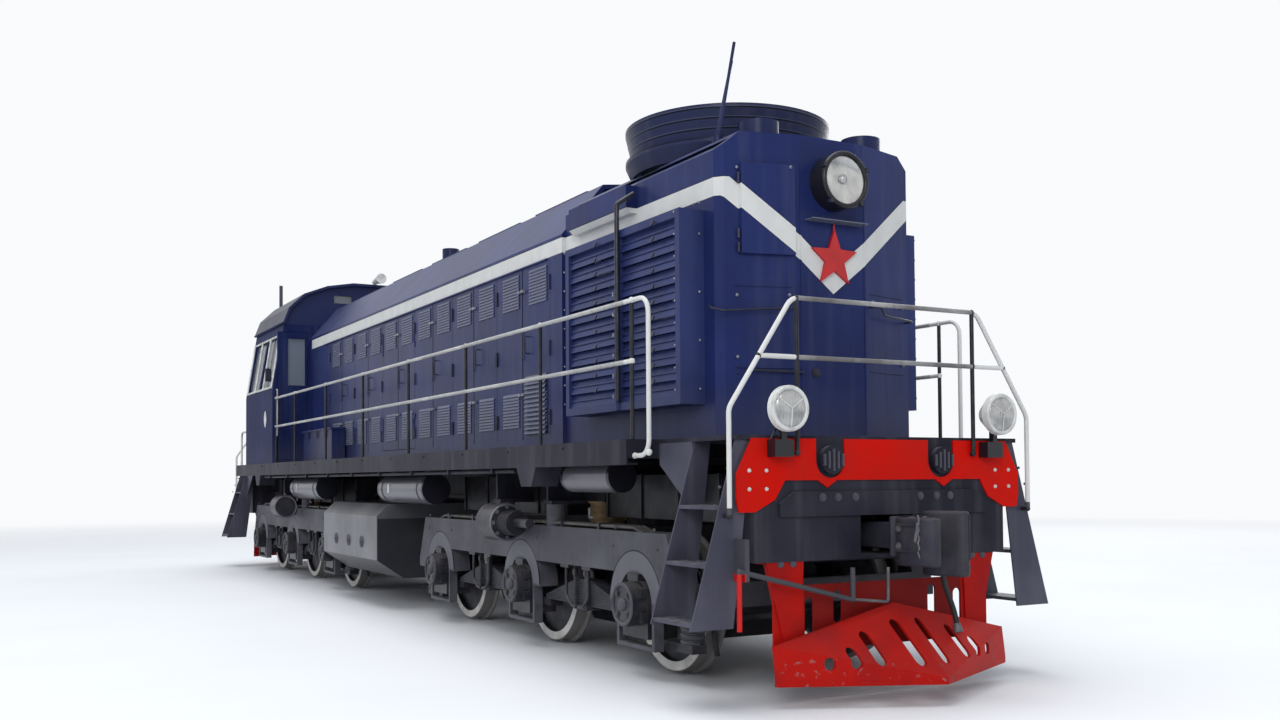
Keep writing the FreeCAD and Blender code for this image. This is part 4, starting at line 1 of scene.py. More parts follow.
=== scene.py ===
"""Finishes and small fittings of a six-axle diesel shunting locomotive, over its solids.

Metres, in the solids' own frame: +X towards the radiator end, +Y to the locomotive's
left, +Z up, with the wheel flanges' lowest point at zero.
"""
import math

import bmesh
import bpy
from mathutils import Matrix, Vector


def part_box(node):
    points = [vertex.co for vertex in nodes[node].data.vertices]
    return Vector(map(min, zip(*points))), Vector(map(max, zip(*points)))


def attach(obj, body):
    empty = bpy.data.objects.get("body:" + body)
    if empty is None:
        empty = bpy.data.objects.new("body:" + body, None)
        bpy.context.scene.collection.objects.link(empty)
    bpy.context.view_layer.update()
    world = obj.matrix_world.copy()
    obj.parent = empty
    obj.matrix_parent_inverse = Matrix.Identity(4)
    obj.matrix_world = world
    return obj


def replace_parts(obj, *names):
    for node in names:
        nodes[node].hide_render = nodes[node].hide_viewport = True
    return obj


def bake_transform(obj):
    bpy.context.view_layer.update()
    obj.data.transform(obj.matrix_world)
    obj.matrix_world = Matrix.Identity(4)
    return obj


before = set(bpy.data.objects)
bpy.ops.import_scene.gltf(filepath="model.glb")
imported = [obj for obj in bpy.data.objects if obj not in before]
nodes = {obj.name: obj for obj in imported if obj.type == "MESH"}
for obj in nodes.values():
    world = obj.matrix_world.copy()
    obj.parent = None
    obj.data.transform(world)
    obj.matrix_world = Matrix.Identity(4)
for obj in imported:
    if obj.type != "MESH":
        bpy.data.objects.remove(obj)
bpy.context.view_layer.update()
scene = bpy.context.scene
scene.view_settings.view_transform = "Standard"


# ---------------------------------------------------------------- camera and studio
# A viewer stands low by the right-hand rail, ahead of the radiator end.  The floor and
# sky are pale, with broad lamps above, over the viewer's shoulder and on the far side.
def linked(name, data):
    """A new object in the scene, at the origin."""
    made = bpy.data.objects.new(name, data)
    scene.collection.objects.link(made)
    return made


EYE = (14.252, -5.558, 1.482)
camera = linked("camera", bpy.data.cameras.new("camera"))
camera.data.lens = 33.73
camera.data.shift_x = 0.003
camera.data.shift_y = 0.0667
camera.data.clip_end = 400
turn, tilt, roll = (math.radians(angle) for angle in (60.746, 91.619, -0.4))
aim = Matrix.Rotation(turn, 4, "Z") @ Matrix.Rotation(tilt, 4, "X") @ Matrix.Rotation(roll, 4, "Z")
camera.matrix_world = Matrix.Translation(EYE) @ aim
scene.camera = camera


def operator(operation):
    """A method of Signal that adds one Math node."""
    return lambda signal, *others: signal.maths(operation, *others)


class Signal:
    """A socket in an expression: arithmetic on it adds the Math nodes."""
    __add__ = __radd__ = operator("ADD")
    __sub__ = operator("SUBTRACT")
    __mul__ = __rmul__ = operator("MULTIPLY")
    __truediv__ = operator("DIVIDE")
    __abs__ = operator("ABSOLUTE")
    over = operator("GREATER_THAN")
    under = operator("LESS_THAN")
    least = operator("MINIMUM")
    most = operator("MAXIMUM")
    root = operator("SQRT")
    sine = operator("SINE")
    fraction = operator("FRACT")

    def __init__(self, owner, socket):
        self.owner = owner
        self.socket = socket

    def maths(self, operation, *others):
        return self.owner.node("Math", {"operation": operation}, dict(enumerate((self,) + others)))

    def __rsub__(self, other):
        return (self * -1) + other

    def between(self, low, high):
        return self.over(low) * self.under(high)

    def ramp(self, low, high):
        """0 below low, 1 above high, straight between."""
        return self.owner.node("MapRange", {"clamp": True}, {0: self, 1: low, 2: high})


class Nodes:
    """A tree of nodes, for a material, the sky or a shape."""

    def __init__(self, tree):
        self.tree = tree

    def node(self, kind, settings=None, values=None, output=0):
        """Any node: its settings first, then the values or links of its sockets."""
        prefixes = ("ShaderNode", "ShaderNodeTex", "GeometryNode", "FunctionNode")
        full_name = next(prefix + kind for prefix in prefixes if hasattr(bpy.types, prefix + kind))
        made = self.tree.nodes.new(full_name)
        for key, value in (settings or {}).items():
            setattr(made, key, value)
        for key, value in (values or {}).items():
            self.feed(made.inputs[key], value)
        return made if output is None else Signal(self, made.outputs[output])

    def feed(self, socket, value):
        if isinstance(value, Signal):
            self.tree.links.new(value.socket, socket)
        else:
            socket.default_value = value


class Finish(Nodes):
    """One material: a colour and a roughness, with layers laid over them."""

    def __init__(self, name, colour, roughness):
        self.material = bpy.data.materials.new(name)
        self.material.use_nodes = True
        super().__init__(self.material.node_tree)
        self.shader = self.tree.nodes["Principled BSDF"]
        self.colour = (*colour, 1)
        self.roughness = roughness
        self.bump = None
        self.place = self.node("TexCoord", output="Object")
        self.x, self.y, self.z = self.parts(self.place)
        self.upward = self.parts(self.node("NewGeometry", output="Normal"))[2]

    def parts(self, vector):
        spread = self.node("SeparateXYZ", values={0: vector}, output=None)
        return [Signal(self, socket) for socket in spread.outputs]

    def noise(self, scale, detail=3.0, stretch=(1, 1, 1)):
        """Cloudy noise in metres, drawn out along an axis by a stretch over one."""
        scales = tuple(scale / way for way in stretch)
        place = self.node("Mapping", values={0: self.place, 3: scales})
        return self.node("Noise", values={"Vector": place, "Scale": 1.0, "Detail": detail})

    def mix(self, share, first, second):
        return self.node("Mix", {"data_type": "RGBA"}, {0: share, 6: first, 7: second}, output=2)

    def lay(self, share, colour, roughness=None):
        """A layer of another colour where share is 1."""
        self.colour = self.mix(share, self.colour, (*colour, 1))
        if roughness is not None:
            self.roughness = self.roughness + (share * (roughness - 0.35))
        return self

    def fade(self, colour, amount, scale=0.8):
        """Broad cloudy change towards another colour, as sun and washing leave."""
        return self.lay(self.noise(scale, 4).ramp(0.42, 0.68) * amount, colour)

    def streak(self, colour, amount, scale=9, run=14):
        """Rain runs down the upright faces."""
        runs = self.noise(scale, 3, (1, 1, run)).ramp(0.5, 0.75)
        return self.lay(runs * (1 - abs(self.upward)) * amount, colour)

    def dust(self, colour, amount):
        """Dust lying on what faces up, in patches."""
        patches = self.noise(5, 5).ramp(0.25, 0.7) * 0.6 + 0.4
        return self.lay(self.upward.ramp(0.3, 0.95) * patches * amount, colour, 0.75)

    def dent(self, height, depth):
        """Relief, as deep as given in metres where height goes from 0 to 1."""
        values = {"Strength": 1.0, "Distance": depth, "Height": height}
        if self.bump is not None:
            values["Normal"] = self.bump
        self.bump = self.node("Bump", values=values)
        return self

    def grain(self, scale, depth, detail=3, stretch=(1, 1, 1)):
        """Cloudy relief all over."""
        return self.dent(self.noise(scale, detail, stretch), depth)

    def done(self, **sockets):
        """Joins everything to the shader; uniform values go on its own sockets."""
        self.feed(self.shader.inputs["Base Color"], self.colour)
        self.feed(self.shader.inputs["Roughness"], self.roughness)
        if self.bump is not None:
            self.feed(self.shader.inputs["Normal"], self.bump)
        # paint outdoors is weathered, so it mirrors the sky less than fresh enamel
        for key, value in {"specular_ior_level": 0.2, **sockets}.items():
            label = key.replace("_", " ").title().replace("Ior", "IOR")
            self.shader.inputs[label].default_value = value
        return self.material


def lamp(name, place, target, size, power):
    light = bpy.data.lights.new(name, "AREA")
    light.shape = "DISK"
    light.size = size
    light.energy = power
    holder = linked(name, light)
    holder.location = place
    holder.rotation_euler = (Vector(target) - Vector(place)).to_track_quat("-Z", "Y").to_euler()


lamp("sky lamp", (2, -4, 26), (0, 0, 2), 24, 5200)
lamp("shoulder lamp", (26, -16, 12), (3, 0, 2), 12, 2400)
lamp("far side lamp", (-8, 24, 14), (0, 0, 2), 14, 1500)

FLOOR_HALF = 160
HORIZON = (0.95, 0.96, 0.98, 1)
floor_mesh = bpy.data.meshes.new("floor")
floor_mesh.from_pydata([(FLOOR_HALF * x, FLOOR_HALF * y, 0)
                        for x, y in ((-1, -1), (1, -1), (1, 1), (-1, 1))], [], [(0, 1, 2, 3)])
floor = linked("floor", floor_mesh)
pale_floor = Finish("pale floor", (0.78, 0.79, 0.81), 0.9).fade((0.74, 0.75, 0.77), 0.5, 0.4)
# far off, and only where it is seen directly, the floor fades into the sky
away = (pale_floor.x * pale_floor.x + pale_floor.y * pale_floor.y).root()
far_off = away.ramp(12, 34) * pale_floor.node("LightPath", output="Is Camera Ray")
glow = pale_floor.node("Emission", values={"Color": HORIZON})
solid_floor = Signal(pale_floor, pale_floor.shader.outputs[0])
fading = pale_floor.node("MixShader", values={0: far_off, 1: solid_floor, 2: glow})
pale_floor.feed(pale_floor.tree.nodes["Material Output"].inputs["Surface"], fading)
floor_mesh.materials.append(pale_floor.done())

scene.world = bpy.data.worlds.new("sky")
scene.world.use_nodes = True
sky = Nodes(scene.world.node_tree)
seen, through, mirrored = (sky.node("LightPath", output=f"Is {ray} Ray")
                           for ray in ("Camera", "Transmission", "Glossy"))
daylight = sky.node("Background", values={"Color": (0.86, 0.92, 1.0, 1), "Strength": 0.62})
backdrop = sky.node("Background", values={"Color": HORIZON})
either = sky.node("MixShader", values={0: seen.most(through).most(mirrored), 1: daylight, 2: backdrop})
sky.feed(sky.tree.nodes["World Output"].inputs["Surface"], either)


# ---------------------------------------------------------------- brake hoses
# A rubber hose hangs from its cock at each end, limp enough to bow outwards, and ends in
# a steel coupling head.  Cloth impression runs round the rubber.
ENDS = (("front", 1), ("rear", -1))
rubber = Finish("hose rubber", (0.018, 0.018, 0.02), 0.55).fade((0.05, 0.05, 0.055), 0.6, 6)
hose_rubber = rubber.grain(140, 0.0006, 2, (1, 1, 0.3)).done()
# forward of the cock's outlet, down from it, in metres
HOSE_ROUTE = ((0, 0), (0, 0.07), (0.016, 0.14), (0.046, 0.21), (0.082, 0.28), (0.116, 0.35),
              (0.134, 0.42))


def coat(piece, material, body, slot):
    """Finishes one added piece: its material and the body it rides on; slot is not used."""
    piece.data.materials.clear()
    piece.data.materials.append(material)
    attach(piece, body)
    return piece


for end_name, end in ENDS:
    low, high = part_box(f"brake_hose_{end_name}")
    # the hose is as wide across the track as it is thick
    radius = (high.y - low.y) / 2
    outlet = Vector((low.x + radius if end > 0 else high.x - radius, (low.y + high.y) / 2, high.z))
    line = bpy.data.curves.new("brake hose", "CURVE")
    line.dimensions = "3D"
    line.bevel_depth = radius
    line.bevel_resolution = 5
    line.resolution_u = 10
    line.use_fill_caps = True
    spline = line.splines.new("NURBS")
    spline.points.add(len(HOSE_ROUTE) - 1)
    route = [outlet + Vector((end * forward, 0, -down)) for forward, down in HOSE_ROUTE]
    for point, place in zip(spline.points, route):
        point.co = (*place, 1)
    spline.order_u = 3
    spline.use_endpoint_u = True
    hose = coat(linked(f"rubber_hose_{end_name}", line), hose_rubber, "locomotive", "hose_rubber")
    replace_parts(hose, f"brake_hose_{end_name}")


# ---------------------------------------------------------------- underframe
# Plate girders under a chequered deck, welded and painted almost black; rain has left
# grey runs down the sills and road dust lies on the deck.
RAIL_TOP = 0.028
FORWARD, OUTWARD, UPWARD = (1, 0, 0), (0, 1, 0), (0, 0, 1)


def up(height):
    """The level of a height over the rail."""
    return RAIL_TOP + height


def dress(material, *names):
    """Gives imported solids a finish."""
    for name in names:
        nodes[name].data.materials.clear()
        nodes[name].data.materials.append(material)


def both(rows, axis=1):
    """The rows and their mirror images on the other side, or with axis 0 at the other end."""
    def flip(vector):
        return tuple(-value if index == axis else value for index, value in enumerate(vector))

    # a route is a list of points; a row of a place and its facing may end in a size, which stays
    return rows + [[flip(point) for point in row] if isinstance(row, list)
                   else (flip(row[0]), flip(row[1]), *row[2:]) for row in rows]


def grown(name, data, tree, sizes, material, body, slot):
    """Runs a Geometry Nodes tree over a mesh or curve and keeps the plain mesh."""
    maker = linked(name, data)
    modifier = maker.modifiers.new("making", "NODES")
    modifier.node_group = tree
    sockets = {item.name: item.identifier for item in tree.interface.items_tree
               if item.in_out == "INPUT"}
    for label, value in {**sizes, "Material": material}.items():
        modifier[sockets[label]] = value
    shape = maker.evaluated_get(bpy.context.evaluated_depsgraph_get())
    mesh = bpy.data.meshes.new_from_object(shape)
    bpy.data.objects.remove(maker)
    return coat(linked(name, mesh), material, body, slot)


class Recipe(Nodes):
    """A Geometry Nodes tree that starts from a shape and named sizes."""

    def __init__(self, name, *sizes):
        super().__init__(bpy.data.node_groups.new(name, "GeometryNodeTree"))
        kinds = {"Shape": "Geometry", **dict.fromkeys(sizes, "Float"), "Material": "Material"}
        for label, kind in kinds.items():
            self.tree.interface.new_socket(label, in_out="INPUT", socket_type=f"NodeSocket{kind}")
        self.tree.interface.new_socket("Shape", in_out="OUTPUT", socket_type="NodeSocketGeometry")
        source = self.tree.nodes.new("NodeGroupInput")
        self.given = {label: Signal(self, source.outputs[label]) for label in kinds}

    def circle(self, resolution, radius):
        return self.node("CurvePrimitiveCircle", values={"Resolution": resolution, "Radius": radius})

    def swept(self, curve, section, caps=True):
        return self.node("CurveToMesh", values={"Curve": curve, "Profile Curve": section,
                                                "Fill Caps": caps})

    def placed(self, copy):
        """Copies at the points, turned so that their Z follows each point's facing."""
        facing, size = (self.node("InputNamedAttribute", {"data_type": "FLOAT_VECTOR"},
                                  {"Name": label}) for label in ("facing", "size"))
        turned = self.node("AlignRotationToVector", {"axis": "Z"}, {"Vector": facing})
        return self.node("InstanceOnPoints", values={"Points": self.given["Shape"], "Instance": copy,
                                                     "Rotation": turned, "Scale": size})

    def finish(self, shape):
        real = self.node("RealizeInstances", values={0: shape})
        painted = self.node("SetMaterial", values={"Geometry": real,
                                                   "Material": self.given["Material"]})
        self.feed(self.tree.nodes.new("NodeGroupOutput").inputs[0], painted)
        return self.tree


# a domed rivet or bolt head on each point
domes = Recipe("domed heads", "Radius", "Height")
radius, height = domes.given["Radius"], domes.given["Height"]
ball = domes.node("MeshUVSphere", values={"Segments": 10, "Rings": 6, "Radius": radius})
squat = domes.node("CombineXYZ", values={"X": 1.0, "Y": 1.0, "Z": height / radius})
ball = domes.node("Transform", values={"Geometry": ball, "Scale": squat})
domed_heads = domes.finish(domes.placed(ball))

# a box of each point's own size, its Z along the facing
blocks = Recipe("small plates")
small_plates = blocks.finish(blocks.placed(blocks.node("MeshCube", values={"Size": (1, 1, 1)})))

# a round bar along a curve, its bends rounded
bars = Recipe("round bars", "Radius", "Bend")
bent = bars.node("FilletCurve", {"mode": "POLY"}, {"Curve": bars.given["Shape"], "Count": 6,
                                                   "Radius": bars.given["Bend"],
                                                   "Limit Radius": True})
round_bars = bars.finish(bars.swept(bent, bars.circle(10, bars.given["Radius"])))


def points(name, places):
    """A mesh of bare points: (place, facing) or (place, facing, size) each."""
    mesh = bpy.data.meshes.new(name)
    mesh.from_pydata([row[0] for row in places], [], [])
    facing = mesh.attributes.new("facing", "FLOAT_VECTOR", "POINT")
    size = mesh.attributes.new("size", "FLOAT_VECTOR", "POINT")
    for index, (place, direction, *given) in enumerate(places):
        facing.data[index].vector = direction
        size.data[index].vector = given[0] if given else (1, 1, 1)
    return mesh


def heads(name, places, radius, height, material, slot="dark_steel", body="locomotive",
          shape=domed_heads):
    return grown(name, points(name, places), shape, {"Radius": radius, "Height": height},
                 material, body, slot)


def plates(name, places, material, slot="dark_steel", body="locomotive"):
    return grown(name, points(name, places), small_plates, {}, material, body, slot)


def pipes(name, routes, radius, material, slot="dark_steel", bend=0.001, body="locomotive"):
    """Round bars, one for each route of straight runs."""
    curve = bpy.data.curves.new(name, "CURVE")
    curve.dimensions = "3D"
    for route in routes:
        spline = curve.splines.new("POLY")
        spline.points.add(len(route) - 1)
        for point, place in zip(spline.points, route):
            point.co = (*place, 1)
    return grown(name, curve, round_bars, {"Radius": radius, "Bend": bend}, material, body, slot)


black = Finish("sill paint", (0.016, 0.016, 0.025), 0.45)
black.fade((0.045, 0.045, 0.060), 0.6, 1.2).streak((0.085, 0.082, 0.095), 0.4, 7)
black.dust((0.16, 0.16, 0.17), 0.5)
tread = (black.x * 105).sine() * (black.y * 105).sine()
black.dent(tread.over(0.6) * black.upward.over(0.9), 0.0015).grain(3, 0.004)
sill_paint = black.done(specular_ior_level=0.07)
dress(sill_paint, "underframe")

deck_top, deck_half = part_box("underframe")[1].z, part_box("underframe")[1].y
sill_low = deck_top - 0.18
# a row of bolts along each sill
SILL_BOLT_PITCH = 1.075
sill_bolts = [((step * SILL_BOLT_PITCH + 0.5, deck_half + 0.001, sill_low + 0.14), OUTWARD)
              for step in range(-6, 6)]
heads("sill_bolts", both(sill_bolts), 0.014, 0.009, sill_paint)
# air and cable pipes clipped under each sill between the jacking pads
PIPES_HALF, CLIP_PITCH = 4.85, 1.1
under_sill = sill_low - 0.028
sill_pipes = [[(end * PIPES_HALF, deck_half - inset, under_sill) for end in (-1, 1)]
              for inset in (0.05, 0.105)]
pipes("sill_pipes", both(sill_pipes), 0.018, sill_paint)
pipe_clips = [((CLIP_PITCH * step, deck_half - 0.078, under_sill + 0.004), UPWARD,
               (0.035, 0.13, 0.046)) for step in range(-4, 5)]
plates("sill_pipe_clips", both(pipe_clips), sill_paint)


# ---------------------------------------------------------------- end plates
# A red sheet with lobed sides across each end of the deck, round ports over the buffer
# bosses, and a dark shield plate bolted on below.
red = Finish("signal red", (0.56, 0.006, 0.002), 0.36).fade((0.42, 0.012, 0.008), 0.6, 2.2)
red.streak((0.30, 0.02, 0.015), 0.25, 8).dust((0.45, 0.2, 0.18), 0.2).grain(2.4, 0.003)
dress(red.done(specular_ior_level=0.05), "end_plates")

pale = Finish("pale metal", (0.62, 0.62, 0.60), 0.45).fade((0.34, 0.34, 0.33), 0.7, 11)
pale_metal = pale.done(metallic=0.1)
slate = Finish("slate paint", (0.056, 0.056, 0.072), 0.5).fade((0.075, 0.075, 0.10), 0.7, 2.5)
slate_paint = slate.dust((0.25, 0.25, 0.27), 0.4).grain(26, 0.0012, 4).done(coat_weight=0.08)

# a six-sided nut on a round washer on each point
nuts = Recipe("nuts on washers", "Radius", "Height")
radius, height = nuts.given["Radius"], nuts.given["Height"]
join = nuts.node("JoinGeometry", output=None)
for sides, wide, thick in ((6, radius, height), (16, radius * 1.5, height * 0.5)):
    prism = nuts.node("MeshCylinder", values={"Vertices": sides, "Radius": wide, "Depth": thick})
    nuts.feed(join.inputs[0], prism)
nut_heads = nuts.finish(nuts.placed(Signal(nuts, join.outputs[0])))


def corners(rows):
    """The rows at all four corners of the locomotive."""
    return both(both(rows), axis=0)


end_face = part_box("end_plates")[1].x
rivets = [((end_face + 0.001, across, up(height)), FORWARD)
          for across in (1.155, 1.02) for height in (1.505, 1.385)]
heads("end_plate_rivets", corners(rivets), 0.0145, 0.012, pale_metal, "red_paint")
bolts = [((end_face + 0.009, across, up(1.325)), FORWARD) for across in (0.57, 0.44, 0.29)]
heads("shield_bolts", corners(bolts), 0.019, 0.018, slate_paint, shape=nut_heads)
# ribs across the buffer bosses, the middle one longest
ribs = [((end_face + 0.03, 0.494 + 0.038 * step, up(1.575)), FORWARD,
         (0.15 - 0.035 * abs(step), 0.016, 0.026)) for step in range(-2, 3)]
plates("boss_ribs", corners(ribs), slate_paint)


# ---------------------------------------------------------------- ploughs
# A slotted board with a turned lip stands on a back plate under each end beam.  It is
# signal red, chipped and greyed low down; the back plate behind it is painted darker as shade.
plough = Finish("plough red", (0.40, 0.007, 0.004), 0.45).fade((0.24, 0.008, 0.008), 0.7, 3)
# painted shade: the back plate behind the board, under the end beam, is laid darker red
back_plate_shade = abs(plough.x).under(end_face - 0.02) * abs(plough.y).under(0.70)
plough.lay(back_plate_shade * 0.75, (0.10, 0.007, 0.006))
scuffs = plough.noise(22, 6).ramp(0.62, 0.70) * plough.z.under(0.32)
plough.lay(scuffs * 0.6, (0.20, 0.16, 0.15), 0.7).dust((0.30, 0.05, 0.045), 0.25)
dress(plough.grain(4, 0.004).done(specular_ior_level=0.07), "ploughs")
arm_bolts = [((end_face - 0.018, across, 0.92), FORWARD) for across in (0.80, 0.90)]
heads("plough_bolts", corners(arm_bolts), 0.016, 0.014, slate_paint, "plough_red", shape=nut_heads)


# ---------------------------------------------------------------- corner steps
# Two flared cheek plates at each corner with folded treads welded between them; the
# blue-grey paint is scuffed to metal where boots land.
cheek = Finish("step paint", (0.045, 0.045, 0.068), 0.48).fade((0.085, 0.085, 0.115), 0.6, 2.2)
boot_wear = cheek.upward.over(0.8) * cheek.noise(18, 4).ramp(0.45, 0.6)
cheek.lay(boot_wear * 0.6, (0.22, 0.21, 0.20), 0.5).streak((0.16, 0.16, 0.18), 0.2, 9)
dress(cheek.grain(2.0, 0.004).done(coat_weight=0.04), "corner_steps")
cheek_bolts = [((end_face - 0.034, across, up(height)), FORWARD)
               for across, height in ((1.30, 1.52), (1.36, 1.40), (1.40, 1.28))]
heads("cheek_bolts", corners(cheek_bolts), 0.011, 0.008, slate_paint, "blue_grey_paint")


# ---------------------------------------------------------------- couplers
# Automatic claw couplers, rough castings hung in a pocket under each end beam.  Ribs stiffen
# the big claw, and the lock's shaft, its cam and the lifting chain hang at the side.
cast = Finish("cast iron", (0.030, 0.030, 0.044), 0.55).fade((0.05, 0.048, 0.052), 0.8, 6)
cast.lay(cast.noise(11, 5).ramp(0.64, 0.74) * 0.4, (0.085, 0.055, 0.045))
cast_iron = cast.grain(70, 0.002).grain(9, 0.006).done(metallic=0.15)
dress(cast_iron, "coupler_front", "coupler_rear")
forged = Finish("forged grey", (0.10, 0.10, 0.11), 0.5).fade((0.22, 0.21, 0.20), 0.7, 16)
forged_grey = forged.grain(60, 0.0008).done(metallic=0.3)


def fitter(ending, body="locomotive", slot="dark_steel"):
    """Fits pieces to one body, the ending telling their names apart."""
    def fit(make, name, *given, slot=slot, **more):
        return make(f"{name}_{ending}", *given, slot=slot, body=body, **more)

    return fit


def shaped(name, shape, material, slot, body="locomotive"):
    """Keeps finished mesh code as a piece, its faces outwards."""
    bmesh.ops.recalc_face_normals(shape, faces=shape.faces)
    mesh = bpy.data.meshes.new(name)
    shape.to_mesh(mesh)
    shape.free()
    return coat(linked(name, mesh), material, body, slot)


def turned(name, profile, place, facing, material, slot, turns=40, body="locomotive"):
    """A turned shape: (radius, out) points spun round the facing axis at a place."""
    axis = Vector(facing).normalized()
    sideways = axis.orthogonal().normalized()
    shape = bmesh.new()
    rows = []
    for step in range(turns):
        angle = math.tau * step / turns
        spoke = sideways * math.cos(angle) + axis.cross(sideways) * math.sin(angle)
        rows.append([shape.verts.new(Vector(place) + spoke * radius + axis * out)
                     for radius, out in profile])
    for here, after in zip(rows, rows[1:] + rows[:1]):
        for step in range(len(profile) - 1):
            shape.faces.new((here[step], after[step], after[step + 1], here[step + 1]))
    bmesh.ops.remove_doubles(shape, verts=shape.verts, dist=1e-5)
    for face in shape.faces:
        face.smooth = True
    return shaped(name, shape, material, slot, body)


def rounded(outline, passes=2):
    """The outline with its corners cut again and again, as a casting's are."""
    for turn in range(passes):
        after = outline[1:] + outline[:1]
        outline = [point.lerp(other, share) for point, other in zip(outline, after)
                   for share in (0.25, 0.75)]
    return outline


def casting(shape, outline, low_z, high_z, edge):
    """Adds to a mesh one cast block: an outline in plan, pulled up, with rounded rims."""
    ring = [shape.verts.new((point.x, point.y, low_z)) for point in outline]
    pulled = bmesh.ops.extrude_face_region(shape, geom=[shape.faces.new(ring)])["geom"]
    tops = [part for part in pulled if isinstance(part, bmesh.types.BMVert)]
    bmesh.ops.translate(shape, vec=(0, 0, high_z - low_z), verts=tops)
    own = set(ring) | set(tops)
    rims = [line for line in shape.edges if set(line.verts) <= own
            and abs(line.verts[0].co.z - line.verts[1].co.z) < 1e-6]
    bmesh.ops.bevel(shape, geom=rims, offset=edge, segments=3, affect="EDGES",
                    clamp_overlap=True, profile=0.5)


PIN_PLACE = end_face - 0.535
# seen from above, as metres back from the coupling face and metres towards the big claw
HEAD = ((0.42, 0.09), (0.35, 0.185), (0.26, 0.212), (0.10, 0.218), (0.045, 0.200),
        (0.022, 0.165), (0.045, 0.122), (0.13, 0.100), (0.205, 0.062), (0.222, 0.022),
        (0.208, -0.022), (0.15, -0.045), (0.05, -0.060), (0.008, -0.080), (0.003, -0.112),
        (0.014, -0.150), (0.07, -0.182), (0.17, -0.196), (0.28, -0.188), (0.36, -0.150),
        (0.42, -0.09))
CLAW = ((0.37, 0.150), (0.26, 0.221), (0.10, 0.227), (0.045, 0.206), (0.016, 0.165),
        (0.040, 0.120), (0.13, 0.094), (0.23, 0.050), (0.34, 0.040))
COLLAR = ((0.385, 0.155), (0.385, -0.155), (0.435, -0.155), (0.435, 0.155))
# (radius, out) of the bossed cap on the lock's shaft, and of the cam below it
LOCK = [(0, 0.02), (0.035, 0.018), (0.05, 0.004), (0.062, 0), (0.062, -0.05), (0, -0.05)]
for end_name, end in ENDS:
    fit = fitter(end_name, f"coupler_body_{end_name}", "coupler_iron")
    low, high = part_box(f"coupler_{end_name}")
    reach = high.x if end > 0 else -low.x
    middle = (low.z + high.z) / 2

    def at(back, across, rise=0):
        """A place behind the coupling face, towards the big claw and over the middle."""
        return (end * (reach - back), end * across, middle + rise)

    eye = reach - PIN_PLACE
    shank = [(0.40, 0.085), (0.40, -0.085), (0.50, -0.069), (eye, -0.069)]
    shank += [(eye + 0.088 * math.sin(turn), -0.088 * math.cos(turn))
              for turn in (math.pi * step / 10 for step in range(1, 10))]
    shank += [(eye, 0.069), (0.50, 0.069)]
    block = bmesh.new()
    for outline, passes, bottom, top, edge in (
            (HEAD, 2, -0.185, 0.128, 0.016), (CLAW, 2, -0.262, 0.169, 0.022),
            (COLLAR, 1, -0.135, 0.135, 0.010), (shank, 1, -0.088, 0.088, 0.010)):
        plan = [Vector(at(back, across)) for back, across in outline]
        casting(block, rounded(plan, passes), middle + bottom, middle + top, edge)
    for face in block.faces:
        face.smooth = len(face.verts) == 4
    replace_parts(fit(shaped, "coupler_head", block, cast_iron), f"coupler_{end_name}")
    # ribs of the big claw's face and side, two on the other cheek
    ribs = [(at(0.045 + 0.012 * step, 0.180 - 0.018 * step), (end, 0, 0), (0.30, 0.010, 0.05))
            for step in range(3)]
    ribs += [(at(0.17, 0.219, rise), (0, end, 0), (0.22, 0.018, 0.016))
             for rise in (-0.20, -0.10, 0, 0.10)]
    ribs += [(at(0.20, -0.191, rise), (0, -end, 0), (0.22, 0.016, 0.014))
             for rise in (-0.085, 0.085)]
    # webs from the collar forward over the head's top and under it
    ribs += [(at(0.33, across, rise), UPWARD, (0.15, 0.014, 0.016))
             for across in (-0.09, -0.03, 0.03) for rise in (0.130, -0.187)]
    fit(plates, "coupler_ribs", ribs, cast_iron)
    for part, across, rise in (("lock", -0.01, 0.045), ("cam", 0.01, -0.08)):
        fit(turned, f"coupler_{part}", LOCK, at(0.215, across, rise), (end, 0, 0), forged_grey,
            turns=20)
    # the lock's lifting shaft and its arm, with the chain up to the lever
    shaft = [[at(0.13, -0.185, -0.02), at(0.13, -0.1924, -0.02)],
             [at(0.13, -0.19055, -0.02), at(0.10, -0.19055, 0.10)]]
    fit(pipes, "coupler_shaft", shaft, 0.014, forged_grey)
    links = []
    for link in range(9):
        sway = 0.007 * end * (-1) ** link
        top = high.z - middle - 0.02 - 0.030 * link
        links.append([at(0.10, -0.190 - sway, top), at(0.10, -0.190 + sway, top - 0.035)])
    fit(pipes, "coupler_chain", links, 0.006, forged_grey)
    studs = [(at(0.26, across, 0.127), UPWARD) for across in (-0.10, 0.01)]
    studs += [(at(0.30, -0.180, rise), (0, -end, 0)) for rise in (-0.06, 0.06)]
    fit(heads, "coupler_studs", studs, 0.017, 0.016, forged_grey, shape=nut_heads)


# ---------------------------------------------------------------- hoses' ends and levers
# Brake cocks and hose couplings are forged and left grey; the uncoupling lever is a bent
# bar in brackets, with its hanging handle painted red.
dress(forged_grey, "hose_head_front", "hose_head_rear", "brake_cocks")
low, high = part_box("uncoupling_levers")
grip = Finish("lever paint", (0.055, 0.055, 0.065), 0.5)
hanging = abs(grip.y).over(max(abs(low.y), abs(high.y)) - 0.06) * grip.z.under(low.z + 0.36)
grip.lay(hanging, (0.50, 0.012, 0.010)).grain(50, 0.0006)
dress(grip.done(coat_weight=0.04), "uncoupling_levers")
# a thinner link goes on from the crank to under the coupler, and up to its chain
lever_links = [[(end * (end_face + 0.075), -end * across, up(height))
                for across, height in ((0.378, 0.642), (0.075, 0.610), (0.070, 0.845))]
               for end in (1, -1)]
pipes("lever_links", lever_links, 0.011, forged_grey, bend=0.02)


